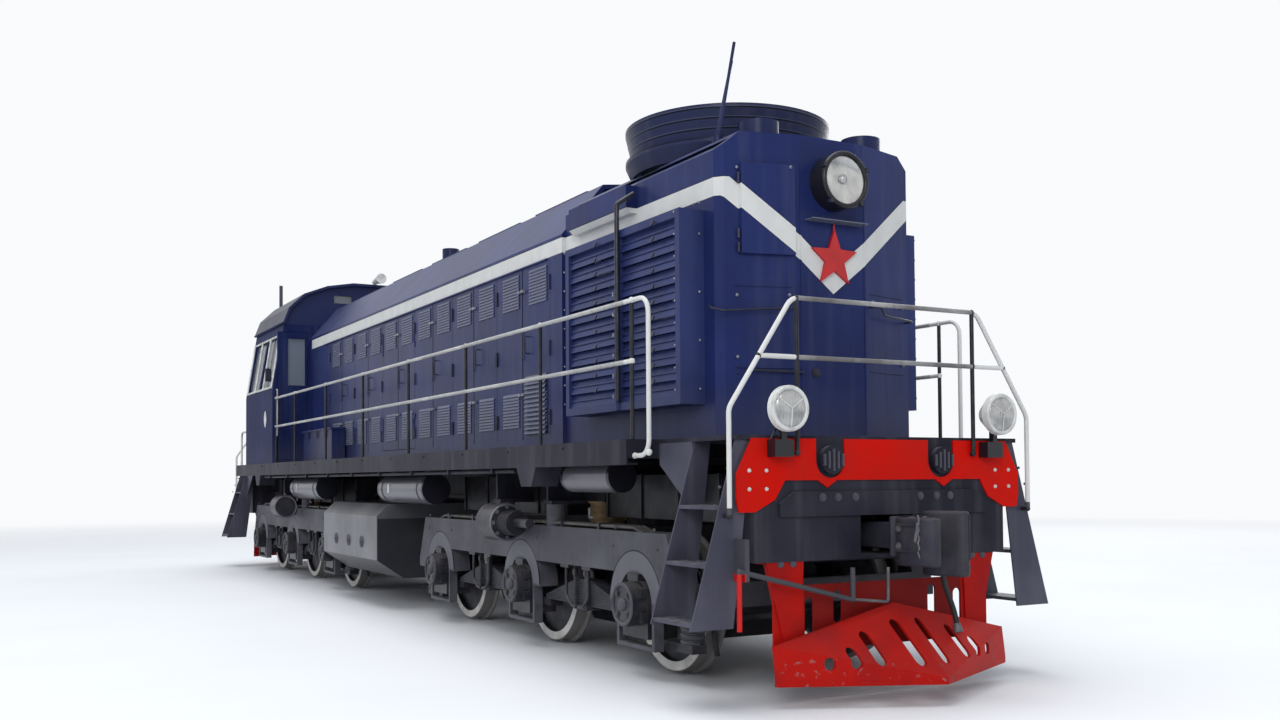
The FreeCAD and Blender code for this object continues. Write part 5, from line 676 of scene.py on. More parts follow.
# ---------------------------------------------------------------- handrails
# Round tube bent at the ends, screwed into ball clamps on bar posts.  The rails are pale
# grey, whitest where they turn down to the sill and the step cheeks; the posts are black.
BAR = 0.017
side_high, end_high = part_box("side_handrails")[1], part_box("end_handrails")[1]
post_y = 0.785
rail = Finish("handrail paint", (0.34, 0.34, 0.335), 0.4).fade((0.52, 0.52, 0.50), 0.8, 3)
rail.lay(rail.noise(30, 4).ramp(0.55, 0.7) * 0.5, (0.15, 0.145, 0.14))
turned_down = abs(rail.x).over(side_high.x - 0.35) * abs(rail.y).over(post_y + 0.015)
rail.lay(turned_down * 0.85, (0.66, 0.66, 0.64))
between_posts = abs(rail.y).under(post_y + 0.015) * abs(rail.x).over(end_face)
rail.lay(between_posts * rail.noise(3, 3).ramp(0.3, 0.6) * 0.9, (0.10, 0.095, 0.10), 0.42)
rail.lay(rail.z.under(deck_top - 0.47), (0.06, 0.06, 0.07), 0.45).grain(45, 0.0006)
rail_paint = rail.done(coat_weight=0.1)
dress(rail_paint, "side_handrails", "end_handrails")
post_paint = Finish("post paint", (0.010, 0.010, 0.014), 0.42).fade((0.035, 0.034, 0.038), 0.6, 9)
post_black = post_paint.done(coat_weight=0.1)

rail_y = side_high.y - BAR - 0.001
top_bar, low_bar, foot = side_high.z - BAR - 0.001, up(2.29), up(1.62)
notch = end_face - 0.975
turn_down = notch + 0.20
cab_front, cab_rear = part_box("cab_body")[1].x - 0.009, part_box("cab_body")[0].x + 0.009
post_places = [cab_front + 0.034, notch - 0.034]
post_places += [notch - 1.58 - 1.672 * step for step in range(6)]
routes = [[(cab_front, rail_y, top_bar), (turn_down, rail_y, top_bar), (turn_down, rail_y, foot),
           (notch, rail_y, foot)],
          [(cab_front, rail_y, low_bar), (notch - 0.034, rail_y, low_bar)],
          [(cab_rear, rail_y, low_bar), (0.1 - notch, rail_y, low_bar),
           (0.1 - notch, rail_y, deck_top)]]
posts = [[(x, rail_y, deck_top), (x, rail_y, top)]
         for x, top in [(x, top_bar) for x in post_places] + [(cab_rear - 0.034, low_bar)]]
clamps = [((x, rail_y, level), UPWARD) for x in post_places for level in (top_bar, low_bar)]
clamps += [((turn_down, rail_y, foot + 0.02), UPWARD), ((notch, rail_y, foot), FORWARD)]
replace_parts(pipes("side_rails", both(routes), BAR, rail_paint, "rail_paint", bend=0.11),
            "side_handrails")
pipes("side_rail_posts", both(posts), BAR * 0.9, post_black, "rail_paint")
heads("side_rail_clamps", both(clamps), 0.023, 0.025, rail_paint, "rail_paint")

# a hoop over each end, wide at its feet and narrow over the knees, with one bar across
wide, narrow = end_high.y - 0.018, 0.823
foot, knee, bar, top = (up(height) for height in (1.217, 1.903, 2.25, 2.642))
bar_half = wide - (wide - narrow) * (bar - knee) / (top - knee)
rail_x, bracket = end_face + 0.025, deck_top - 0.116
hoop = [(-wide, foot), (-wide, knee), (-narrow, top), (narrow, top), (wide, knee), (wide, foot)]
routes = [[(rail_x, across, level) for across, level in run]
          for run in (hoop, [(-bar_half, bar), (bar_half, bar)])]
posts = [[(rail_x, post_y, bracket), (rail_x, post_y, top)],
         [(end_face, post_y, bracket), (rail_x, post_y, bracket)],
         [(end_face - 0.033, wide, foot), (rail_x, wide, foot)]]
clamps = [((rail_x, across, level), FORWARD)
          for across, level in ((post_y, top), (post_y, bar), (bar_half, bar), (wide, foot),
                                (post_y, bracket))]
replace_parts(pipes("end_rails", both(routes, axis=0), BAR, rail_paint, "rail_paint", bend=0.11),
            "end_handrails")
pipes("end_rail_posts", corners(posts), BAR * 0.9, post_black, "rail_paint")
heads("end_rail_clamps", corners(clamps), 0.021, 0.018, post_black, "rail_paint")


# ---------------------------------------------------------------- wheelsets
# Forged wheels with separate tyres.  The tyre's outer face is painted white, the web is
# dark, and only the tread is bright.
WHEEL_CENTRE = 0.553


def from_axle(finish, centre):
    """Distance from an axle's line, for rings of paint round it."""
    along, rise = finish.x - centre, finish.z - WHEEL_CENTRE
    return (along * along + rise * rise).root()


for end_name in ("front", "rear"):
    for number in (1, 2, 3):
        name = f"wheelset_{end_name}_{number}"
        low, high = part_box(name)
        steel = Finish(f"wheel steel {name}", (0.035, 0.035, 0.045), 0.55)
        steel.fade((0.085, 0.08, 0.085), 0.7, 7)
        out = from_axle(steel, (low.x + high.x) / 2)
        grime = steel.noise(9, 4).ramp(0.35, 0.65) * 0.25 + 0.7
        steel.lay(out.between(0.452, 0.519) * abs(steel.y).over(0.80) * grime,
                  (0.72, 0.70, 0.66), 0.5)
        steel.lay(out.over(0.519) * 0.9, (0.20, 0.19, 0.185), 0.3).grain(55, 0.0008)
        dress(steel.done(metallic=0.2), name)


# ---------------------------------------------------------------- bogies
# Welded frames with leaf springs on hangers and coil springs at the ends.  The blue-grey
# paint is dusty on top, oily round the boxes; conduit is clipped along the beams.
def bogie_finish(name, axles):
    """Blue-grey paint; round the axles of one bogie the arches are painted in, a lighter band of
    painted highlight ringed by a dark line of painted shadow.
    """
    truck = Finish(name, (0.056, 0.056, 0.068), 0.5).fade((0.115, 0.115, 0.135), 0.7, 1.6)
    truck.lay(truck.noise(7, 5).ramp(0.55, 0.72) * 0.45, (0.018, 0.017, 0.02), 0.35)
    truck.streak((0.13, 0.125, 0.13), 0.2, 10)
    outside = abs(truck.y).over(1.17) * truck.z.over(WHEEL_CENTRE + 0.02)
    for centre in axles:
        out = from_axle(truck, centre)
        # painted highlight: a lighter band over each arch; painted shadow: a near-black line at its
        # outer edge
        truck.lay(out.between(0.250, 0.390) * outside * 0.55, (0.17, 0.17, 0.195), 0.42)
        truck.lay(out.between(0.390, 0.402) * outside * 0.9, (0.006, 0.006, 0.009))
    truck.dust((0.20, 0.195, 0.20), 0.6)
    return truck.grain(34, 0.0014, 4).grain(3, 0.004).done()


oily = Finish("oily iron", (0.016, 0.016, 0.022), 0.4).fade((0.05, 0.048, 0.055), 0.7, 5)
oily_iron = oily.dust((0.20, 0.19, 0.19), 0.5).grain(40, 0.0018, 4).done(coat_weight=0.15)

# thin leaves lie on each other between the spring's tips and its buckle
leaves = Finish("leaf spring", (0.040, 0.040, 0.05), 0.45).fade((0.09, 0.09, 0.10), 0.6, 6)
stacked = (leaves.z * 390).sine()
leaves.lay(stacked.over(0.72) * (1 - abs(leaves.upward)) * 0.85, (0.006, 0.006, 0.008))
leaf_paint = leaves.dent(stacked, 0.0016).done()

conduit = Finish("conduit", (0.10, 0.095, 0.09), 0.5).fade((0.045, 0.043, 0.045), 0.8, 8)
conduit_paint = conduit.done()
drum_grey = Finish("brake cylinder grey", (0.11, 0.11, 0.13), 0.38).fade((0.20, 0.20, 0.22), 0.7, 5)
cylinder_paint = drum_grey.done(metallic=0.3)

# a coil spring stands on each point
coils = Recipe("end coils", "Radius", "Wire", "Height", "Turns")
radius = coils.given["Radius"]
helix = coils.node("CurveSpiral", values={"Resolution": 20, "Rotations": coils.given["Turns"],
                                          "Start Radius": radius, "End Radius": radius,
                                          "Height": coils.given["Height"]})
coil = coils.swept(helix, coils.circle(8, coils.given["Wire"]))
end_coils = coils.finish(coils.placed(coil))

# a beaded ring on each point
rings = Recipe("beaded rings", "Radius", "Height")
bead = rings.swept(rings.circle(28, rings.given["Radius"]), rings.circle(8, rings.given["Height"]),
                   caps=False)
round_rims = rings.finish(rings.placed(bead))


def on_circle(radius, degrees):
    """Steps along and up from a centre to places on a circle round it."""
    return [(radius * math.cos(math.radians(angle)), radius * math.sin(math.radians(angle)))
            for angle in degrees]


SIDES = (("left", 1), ("right", -1))
BOGIE_HALF = 4.3
AXLE_PITCH = 2.1
CONDUIT_HALF, CONDUIT_PITCH = 2.38, 0.045
SPRING_Y, STRAP_Y, CYLINDER_Y = 1.02, 1.140, 1.345
for end_name, end in ENDS:
    body = f"bogie_{end_name}"
    fit = fitter(end_name, body)
    middle = end * BOGIE_HALF
    axles = [middle + way * AXLE_PITCH for way in (-1, 0, 1)]
    bogie_paint = bogie_finish(f"bogie paint {end_name}", axles)
    dress(bogie_paint, f"bogie_frame_{end_name}")
    dress(oily_iron, f"axle_boxes_{end_name}", f"traction_motors_{end_name}",
          f"brake_gear_{end_name}")
    dress(leaf_paint, f"springs_{end_name}")
    # raised rim, bolts and centre plug of each axle box's cover, and lugs beside it
    cover_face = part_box(f"axle_boxes_{end_name}")[1].y
    box_face = cover_face - 0.105
    covers = both([((x, cover_face + 0.002, WHEEL_CENTRE), OUTWARD) for x in axles])
    fit(heads, "cover_rims", covers, 0.148, 0.014, bogie_paint, shape=round_rims)
    fit(heads, "cover_plugs", covers, 0.05, 0.03, bogie_paint)
    lugs = [((x + way * 0.155, box_face + 0.02, WHEEL_CENTRE + rise), OUTWARD, (0.055, 0.075, 0.06))
            for x in axles for way in (1, -1) for rise in (-0.09, 0.09)]
    lugs += [((x, box_face - 0.05, WHEEL_CENTRE + 0.20), UPWARD, (0.16, 0.14, 0.05)) for x in axles]
    fit(plates, "axle_box_lugs", both(lugs), oily_iron)
    cover_bolts = [((x + along, cover_face + 0.001, WHEEL_CENTRE + rise), OUTWARD)
                   for x in axles for along, rise in on_circle(0.108, range(45, 360, 90))]
    fit(heads, "cover_bolts", both(cover_bolts), 0.019, 0.024, oily_iron, shape=nut_heads)
    # frame bolts over the horn guides and at the beam's ends
    frame_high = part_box(f"bogie_frame_{end_name}")[1]
    beam_face = frame_high.y
    frame_bolts = [((x + way * along, beam_face + 0.001, frame_high.z - drop), OUTWARD)
                   for x in axles for along, drop in ((0.34, 0.30), (0.30, 0.16)) for way in (1, -1)]
    fit(heads, "frame_bolts", both(frame_bolts), 0.014, 0.010, bogie_paint)
    # cable conduits in clips along each beam, dipping at its ends
    start, stop, level = middle - CONDUIT_HALF, middle + CONDUIT_HALF, up(1.09)
    for side_name, side in SIDES:
        fit_side = fitter(f"{end_name}_{side_name}", body)
        ways = [side * (beam_face - 0.035 - CONDUIT_PITCH * row) for row in range(3)]
        conduits = [[(start, y, level - 0.09), (start + 0.35, y, level), (stop - 0.35, y, level),
                     (stop, y, level - 0.09)] for y in ways]
        fit_side(pipes, "conduits", conduits, 0.015, conduit_paint, bend=0.12)
        clips = [((start + 0.5 + 0.675 * step, ways[1], level - 0.004), UPWARD,
                  (0.03, 0.145, 0.056)) for step in range(6)]
        fit_side(plates, "conduit_clips", clips, oily_iron)
    # coil springs round the dark columns at the bogie's ends
    low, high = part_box(f"springs_{end_name}")
    columns = both([((x, SPRING_Y, WHEEL_CENTRE - 0.242), UPWARD)
                    for x in (low.x + 0.085, high.x - 0.085)])
    fit(grown, "end_coils", points("columns", columns), end_coils,
        {"Radius": 0.08, "Wire": 0.012, "Height": 0.232, "Turns": 5.0}, bogie_paint)
    # pins of the spring hangers, safety straps hooked under the leaf springs, and the pads
    # where the straps meet the beam
    pins, straps, pads = [], [], []
    for spring in (middle - AXLE_PITCH / 2, middle + AXLE_PITCH / 2):
        for way in (1, -1):
            pins.append(((spring + way * 0.10, 1.115, WHEEL_CENTRE + 0.16), OUTWARD))
            straps.append([(spring + way * along, STRAP_Y, level)
                           for along, level in ((0.20, high.z), (0.20, WHEEL_CENTRE - 0.04),
                                                (0.10, WHEEL_CENTRE - 0.115),
                                                (0.02, WHEEL_CENTRE - 0.12))])
            pads.append(((spring + way * 0.20, 1.10, high.z - 0.012), (0, 0, -1),
                         (0.15, 0.12, 0.035)))
    fit(heads, "hanger_pins", both(pins), 0.02, 0.02, oily_iron, shape=nut_heads)
    fit(pipes, "spring_straps", both(straps), 0.013, oily_iron, bend=0.05)
    fit(plates, "strap_pads", both(pads), oily_iron)
    # sand pipes ahead of the end wheels
    sand = [[(middle + way * along, across, level)
             for along, across, level in ((2.50, 0.90, 0.98), (2.62, 0.90, 0.80),
                                          (2.66, 0.84, 0.42), (2.60, 0.78, 0.20))]
            for way in (-1, 1)]
    fit(pipes, "sand_pipes", both(sand), 0.022, oily_iron, bend=0.08)
    # rims of the brake cylinders, with a ring of bolts and a ribbed rubber boot at one end
    rim_x, axis_z = middle + end * 0.07, up(1.08)
    rims = [((x, CYLINDER_Y, axis_z), FORWARD) for x in (rim_x, middle - end * 0.255)]
    fit(heads, "cylinder_rims", both(rims), 0.158, 0.012, cylinder_paint, shape=round_rims)
    boot_ribs = [((rim_x + end * (0.035 + 0.04 * step), CYLINDER_Y, axis_z), FORWARD)
                 for step in range(5)]
    fit(heads, "boot_ribs", both(boot_ribs), 0.103, 0.010, hose_rubber, shape=round_rims)
    rim_bolts = [((rim_x + end * 0.004, CYLINDER_Y + across, axis_z + rise), (end, 0, 0))
                 for across, rise in on_circle(0.135, range(0, 360, 45))]
    fit(heads, "cylinder_bolts", both(rim_bolts), 0.012, 0.016, cylinder_paint, shape=nut_heads)


# ---------------------------------------------------------------- cooling air bellows
# Tan canvas sleeves, ribbed like a bellows, lead cooling air from the ducts under the deck
# down to the traction motors, and twist as the bogie swings.
canvas = Finish("tan canvas", (0.36, 0.24, 0.13), 0.8).fade((0.20, 0.13, 0.08), 0.8, 7)
canvas.lay(canvas.noise(3, 4).ramp(0.5, 0.65) * 0.5, (0.12, 0.09, 0.07))
canvas.dent((canvas.x * 900).sine() * (canvas.z * 900).sine(), 0.0006)
tan_canvas = canvas.grain(18, 0.004).done()
FOLDS = 4
ROUND = 32


def bellows(name, x, y, half, low, high):
    """A square sleeve with rounded corners, in and out at each fold."""
    rows = FOLDS * 6 + 1
    vertices, faces = [], []
    for row in range(rows):
        share = row / (rows - 1)
        reach = half * (1 + 0.09 * math.cos(share * FOLDS * math.tau))
        for step in range(ROUND):
            angle = math.tau * step / ROUND
            around = Vector((math.cos(angle), math.sin(angle)))
            # a square of rounded corners lies between the circle and the square
            squarish = around / max(abs(around.x), abs(around.y)) * 0.72 + around * 0.28
            wave = reach * (1 + 0.012 * math.sin(5 * angle + 3 * share * math.tau))
            vertices.append((x + squarish.x * wave, y + squarish.y * wave,
                             low + (high - low) * share))
    for start in range(0, ROUND * (rows - 1), ROUND):
        for step in range(ROUND):
            after = (step + 1) % ROUND
            faces.append((start + step, start + after, start + ROUND + after, start + ROUND + step))
    faces.append(tuple(reversed(range(ROUND))))
    faces.append(tuple(range(ROUND * (rows - 1), ROUND * rows)))
    mesh = bpy.data.meshes.new(name)
    mesh.from_pydata(vertices, [], faces)
    mesh.polygons.foreach_set("use_smooth", [len(face) == 4 for face in faces])
    mesh.materials.append(tan_canvas)
    sleeve = linked(name, mesh)
    return sleeve


duct_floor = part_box("fuel_tank")[1].z + 0.012
motor_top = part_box("traction_motors_front")[1].z
SLEEVE_AHEAD = 0.78
DUCT_Y, DUCT_HEIGHT, DUCT_WIDTH = 0.70, 0.22, 0.28
# where each stretch of duct starts and stops from the bogie's middle, and how far it drops
STRETCHES = ((-2.25, 0.30, 0.125), (0.30, 1.02, 0), (1.02, 2.78, 0.125))
for end_name, end in ENDS:
    body = f"bogie_{end_name}"
    sleeve_x = end * (BOGIE_HALF + SLEEVE_AHEAD)
    ducts = []
    for start, stop, drop in STRETCHES:
        height = DUCT_HEIGHT + drop
        level = duct_floor + DUCT_HEIGHT - height / 2
        ducts.append(((end * (BOGIE_HALF + (start + stop) / 2), DUCT_Y, level), OUTWARD,
                      (stop - start, height, DUCT_WIDTH)))
        flanges = max(2, round((stop - start) / 0.5))
        pitch = (stop - start - 0.06) / (flanges - 1)
        ducts += [((end * (BOGIE_HALF + start + 0.03 + pitch * step), DUCT_Y, level), OUTWARD,
                   (0.03, height + 0.01, DUCT_WIDTH + 0.03)) for step in range(flanges)]
    # plates close the draught pocket beside the coupler's shank and over it
    ducts.append(((end * (end_face - 0.37), 0.47, up(1.09)), OUTWARD, (0.68, 0.34, 0.02)))
    ducts = both(ducts) + [((end * (end_face - back), 0, deck_top - 0.32), (end, 0, 0),
                            (0.28, 1.9, 0.012)) for back in (0.52, 1.1)]
    plates(f"air_ducts_{end_name}", ducts, post_black)
    inlets = [((sleeve_x, 0.67, motor_top + 0.05), UPWARD, (0.31, 0.34, 0.13))]
    plates(f"motor_inlets_{end_name}", both(inlets), oily_iron, body=body)
    for side_name, side in SIDES:
        sleeve = bellows(f"air_bellows_{end_name}_{side_name}", sleeve_x, side * DUCT_Y, 0.135,
                         motor_top + 0.10, duct_floor)
        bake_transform(sleeve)


# ---------------------------------------------------------------- fuel tank
# A welded sheet tank slung under the middle, its sides bevelled inwards below, with
# three round wash-out caps a side.  The grey enamel is glossy and smeared.
tank = Finish("tank enamel", (0.090, 0.090, 0.100), 0.32).fade((0.18, 0.18, 0.195), 0.7, 1.4)
tank.streak((0.09, 0.09, 0.10), 0.4, 6)
# painted shade: below its top band the tank is laid darker, which leaves that band as a painted
# highlight
shade_below_top = abs(tank.x).under(9) * abs(tank.y).under(1.44) * tank.z.under(1.05)
tank.lay(shade_below_top * 0.75, (0.012, 0.012, 0.018)).grain(2.2, 0.006)
dress(tank.done(metallic=0.2, coat_weight=0.2, coat_roughness=0.15), "fuel_tank")

low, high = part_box("fuel_tank")
caps = [(((low.x + high.x) / 2 + step * (high.x - low.x) * 0.24, high.y + 0.001, up(0.74)), OUTWARD)
        for step in (-1, 0, 1)]
cap_nuts = [((x, y + 0.012, z), facing) for (x, y, z), facing in caps]
heads("tank_cap_rims", both(caps), 0.062, 0.009, slate_paint, "tank_paint", shape=round_rims)
heads("tank_caps", both(caps), 0.052, 0.014, slate_paint, "tank_paint")
heads("tank_cap_nuts", both(cap_nuts), 0.018, 0.02, slate_paint, "tank_paint", shape=nut_heads)


# ---------------------------------------------------------------- air reservoirs
# Rolled steel drums with black dished ends hang under the sills.  The long ones have
# round bands and a tag, and drain pipes turn out below.
RESERVOIR_Y = 1.24
DRUMS = ((-3.56, -2.06), (0.70, 2.25), (5.50, 6.33))
drum = Finish("reservoir enamel", (0.105, 0.103, 0.118), 0.34).fade((0.12, 0.118, 0.14), 0.7, 1.8)
drum.streak((0.06, 0.06, 0.07), 0.4, 6)
for start, stop in DRUMS:
    dished = drum.x.between(start - 0.01, start + 0.045) + drum.x.between(stop - 0.045, stop + 0.01)
    drum.lay(dished, (0.010, 0.010, 0.016), 0.42)
drum.grain(5, 0.002)
dress(drum.done(metallic=0.2, coat_weight=0.3, coat_roughness=0.2), "air_reservoirs")

low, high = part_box("air_reservoirs")
bands = [((x, RESERVOIR_Y, low.z + 0.158), FORWARD)
         for start, stop in DRUMS[:2] for x in (start + 0.175, stop - 0.175)]
heads("reservoir_bands", both(bands), 0.156, 0.011, slate_paint, "tank_paint", shape=round_rims)
tags = [((start + 0.42, high.y + 0.001, low.z + 0.165), OUTWARD, (0.055, 0.10, 0.006))
        for start, stop in DRUMS[:2]]
plates("reservoir_tags", both(tags), pale_metal, "tank_paint")
drains = [[(x, RESERVOIR_Y, low.z + 0.02), (x, RESERVOIR_Y, low.z - 0.05),
           (x + 0.05, RESERVOIR_Y, low.z - 0.05)] for x in (high.x - 0.55, low.x + 0.55)]
pipes("reservoir_drains", both(drains), 0.010, forged_grey, "fitting_steel", bend=0.01)


# ---------------------------------------------------------------- radiator hood
# The bonnet over the radiators and fan: folded sheet in deep blue enamel, with one white
# band down each side that dips to a V across the three-sided nose.
HEAD_X = end_face - 0.565
NOSE_FLAT, NOSE_SLOPE = 0.294, 0.268
CAB_FRONT, CAB_REAR = -4.25, -6.19
CAB_MIDDLE = (CAB_FRONT + CAB_REAR) / 2
LEAF_FRONT_EDGE, LEAF_PITCH = 4.44, 0.625
# the white band: its V's tip, slope and upright width, and its level and width along the side
STRIPE_TIP, STRIPE_SLOPE, V_WIDTH = up(2.802), 0.775, 0.178
STRIPE_LEVEL, STRIPE_WIDTH, STRIPE_EDGE = up(3.475), 0.135, 0.006


def livery(name, blue=(0.012, 0.020, 0.088), banded=False, gloss=0.34, leaves=False,
           glazed=False, sheen=0.11, grooves=()):
    """Blue enamel with what a panel may carry: the white band, leaves, panes or grooves."""
    enamel = Finish(name, blue, gloss)
    enamel.fade(tuple(tone * 1.7 for tone in blue), 0.45, 0.9)
    enamel.fade(tuple(tone * 0.55 for tone in blue), 0.35, 2.3)
    enamel.streak((0.10, 0.11, 0.17), 0.16, 8)
    enamel.lay(enamel.z.ramp(up(2.15), up(1.74)) * 0.25, (0.10, 0.10, 0.14), 0.5)
    if banded:
        rise = abs(enamel.y) * STRIPE_SLOPE + STRIPE_TIP
        above = enamel.z - rise.least(STRIPE_LEVEL)
        below = (rise + V_WIDTH).least(STRIPE_LEVEL + STRIPE_WIDTH) - enamel.z
        ahead = enamel.x.over(CAB_FRONT + 0.15)
        edged = above.over(-STRIPE_EDGE) * below.over(-STRIPE_EDGE) * ahead
        enamel.lay(edged * 0.8, (0.010, 0.012, 0.025))
        band = above.over(0) * below.over(0) * ahead
        chalk = enamel.noise(6, 5).ramp(0.35, 0.75) * 0.35
        white = enamel.mix(chalk, (0.62, 0.62, 0.60, 1), (0.42, 0.43, 0.44, 1))
        enamel.colour = enamel.mix(band, enamel.colour, white)
        enamel.roughness = enamel.roughness + band * 0.2
    if leaves:
        # dark lines of painted shade along the gaps between the leaves, wider than the gaps, and
        # painted highlights on the louvre lips
        along = ((LEAF_FRONT_EDGE - enamel.x) / LEAF_PITCH).fraction()
        gap_shade = along.under(0.017) + along.over(0.983)
        enamel.lay(gap_shade * abs(enamel.y).under(0.9455), (0.002, 0.002, 0.006), 0.7)
        lip_highlight = abs(enamel.upward).over(0.25) * abs(enamel.y).over(0.9405)
        enamel.lay(lip_highlight * 0.65, (0.17, 0.18, 0.24), 0.4)
    if glazed:
        # panes of the end doors, set in the middle of their leaves
        pane = abs(enamel.x - CAB_MIDDLE).between(0.925, 0.955) * abs(enamel.y).between(0.30, 1.27)
        enamel.lay(pane * enamel.z.between(up(2.925), up(3.64)), (0.13, 0.15, 0.19), 0.1)
    for level in grooves:
        # each groove is drawn as a dark line of painted shade with a pale line of painted highlight
        # just above it
        enamel.lay(enamel.z.between(level - 0.007, level + 0.004), (0.002, 0.003, 0.008))
        enamel.lay(enamel.z.between(level + 0.004, level + 0.012) * 0.6, (0.07, 0.08, 0.13))
    enamel.dust((0.16, 0.17, 0.21), 0.45).grain(1.3, 0.010).grain(60, 0.0004, 2)
    return enamel.done(coat_weight=sheen * 0.36, coat_roughness=0.2, specular_ior_level=sheen)


band_enamel = livery("banded enamel", banded=True)
dress(band_enamel, "radiator_hood")
dark = Finish("dark fittings", (0.012, 0.013, 0.025), 0.4).fade((0.04, 0.04, 0.06), 0.5, 12)
dark_fittings = dark.done(coat_weight=0.2)
# painted highlight: the bolt heads are laid pale grey for the light that catches them
bolt_highlight = Finish("worn bolt heads", (0.16, 0.17, 0.22), 0.4).fade((0.40, 0.41, 0.44), 0.7, 40)
bolt_steel = bolt_highlight.done(metallic=0.35)


def facet_x(across):
    """How far forward the nose stands at a place across it."""
    return HEAD_X - max(0, abs(across) - NOSE_FLAT) * NOSE_SLOPE


def facet_facing(across):
    """The way the nose faces at a place across it."""
    return (1, math.copysign(NOSE_SLOPE, across) if abs(across) > NOSE_FLAT else 0, 0)


# (across, height over the rail) of the bolts that hold the nose's panels and hatch
NOSE_BOLTS = ((-0.765, 3.676), (-0.77, 2.761), (-0.385, 2.773), (-0.77, 2.319), (-0.385, 2.318),
              (0.235, 3.681), (0.77, 2.761), (0.385, 2.773), (0.77, 2.319), (0.385, 2.318))
NOSE_DOTS = ((0.172, 2.701), (0.22, 2.446), (-0.765, 2.255), (-0.765, 2.205), (-0.169, 2.216))
nose_bolts = [((facet_x(across) + 0.006, across, up(height)), facet_facing(across))
              for across, height in NOSE_BOLTS]
# one more in the near upper corner of the hatch's lid
nose_bolts.append(((facet_x(0.389) + 0.042, -0.389, up(3.69)), facet_facing(-0.389)))
heads("nose_bolts", nose_bolts, 0.013, 0.014, bolt_steel, "navy_paint")
nose_dots = [((facet_x(across) + 0.001, across, up(height)), FORWARD)
             for across, height in NOSE_DOTS]
heads("nose_dots", nose_dots, 0.008, 0.006, dark_fittings, "navy_paint")
heads("nose_washer", [((HEAD_X + 0.004, -0.169, up(2.216)), FORWARD)], 0.024, 0.016,
      dark_fittings, "navy_paint", shape=nut_heads)
column_bolts = [((facet_x(0.9) - back, 0.952, up(height)), OUTWARD)
                for back in (0.17, 0.25) for height in (2.10, 2.45, 2.80, 3.22, 3.45)]
heads("column_bolts", both(column_bolts), 0.010, 0.008, bolt_steel, "navy_paint")
# grab rods bowed out from the nose, ends turned in: back from its face, across, height
GRAB_RODS = (((0.24, -0.93, 2.695), (0.145, -0.98, 2.66), (0.11, -0.90, 2.64),
              (-0.035, -0.36, 2.675), (0.02, -0.34, 2.675)),
             ((0.14, -0.711, 2.227), (0.075, -0.70, 2.225), (-0.035, -0.30, 2.212),
              (0.02, -0.287, 2.212)),
             ((0.03, 0.363, 2.731), (-0.035, 0.365, 2.731), (-0.025, 0.441, 2.721),
              (-0.02, 0.469, 2.67), (0.06, 0.817, 2.653), (0.16, 0.82, 2.653)))
rods = [[(HEAD_X - back, across, up(height)) for back, across, height in rod] for rod in GRAB_RODS]
pipes("nose_grab_rods", rods, 0.008, dark_fittings, "rail_paint", bend=0.02)
hatch_hinges = [[(facet_x(0.762) + 0.022, -0.762, up(height + half)) for half in (-0.035, 0.035)]
                for height in (3.10, 3.20, 3.60)]
pipes("hatch_hinges", hatch_hinges, 0.011, dark_fittings, "navy_paint")
# folded seams: thin battens down the corners of the nose
battens = [((HEAD_X + 0.001, NOSE_FLAT, up(2.75)), FORWARD, (1.95, 0.012, 0.006))]
plates("nose_battens", both(battens), band_enamel, "navy_paint")
# the hatch in one facet is a shallow lid that laps the sheet round it; the lower door's
# edges are thin laps across both facets: side, near, far, low, high, how far it stands out
NOSE_LAPS = [(-1, 0.353, 0.749, 3.058, 3.707, 0.038)]
NOSE_LAPS += [(side, 0.36, 0.78, height, height + 0.007, 0.006)
              for side in (1, -1) for height in (2.242, 2.827)]
laps = bmesh.new()
for side, near, far, low_edge, high_edge, stand in NOSE_LAPS:
    outline = [Vector((facet_x(across) + out, side * across))
               for across, out in ((near, -0.004), (near, stand), (far, stand), (far, -0.004))]
    casting(laps, outline, up(low_edge), up(high_edge), edge=0.002)
shaped("nose_laps", laps, band_enamel, "navy_paint")


# ---------------------------------------------------------------- radiator shutters
# Pressed blades in a frame, in two fields a side, worked together by a bar with small
# clips; a dark conduit rises between the fields.
BLADES = 11
WORKING_BARS = (6.61, 5.686)
CONDUIT_X, CRANKS_X = 6.07, 6.02
blade_paint = livery("shutter enamel", blue=(0.024, 0.034, 0.110))
dress(blade_paint, "radiator_shutters")
low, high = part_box("radiator_shutters")
clips = [((x, high.y - 0.006, low.z + 0.18 + 0.118 * row), (0, 1, 0.4), (0.022, 0.036, 0.010))
         for x in WORKING_BARS for row in range(BLADES)]
plates("shutter_clips", both(clips), dark_fittings, "navy_paint")
# each blade is folded out along its middle
blade_rise = (high.z - low.z - 0.12) / BLADES
folds = [(((low.x + high.x) / 2 + way * 0.45, high.y - 0.051, low.z + 0.06 + blade_rise * (row + 0.5)),
          (0, 1, 0.29), (0.835, 0.012, 0.018)) for way in (-1, 1) for row in range(BLADES)]
plates("shutter_folds", both(folds), blade_paint, "navy_paint")
frame_bolts = [((x, high.y + 0.001, low.z + 0.10 + 0.16 * row), OUTWARD)
               for x in (high.x - 0.03, low.x + 0.03) for row in range(9)]
heads("shutter_bolts", both(frame_bolts), 0.008, 0.006, bolt_steel, "navy_paint")
uprights = [[(CONDUIT_X, high.y + out, up(height))
             for out, height in ((0.002, 2.06), (0.002, 3.60), (-0.15, 3.70))]]
pipes("shutter_conduits", both(uprights), 0.020, dark_fittings, "navy_paint", bend=0.04)
cranks = [((CRANKS_X, high.y + 0.004, up(2.1 + 0.16 * row)), OUTWARD, (0.022, 0.030, 0.022))
          for row in range(6)]
plates("shutter_cranks", both(cranks), bolt_steel, "fitting_steel")
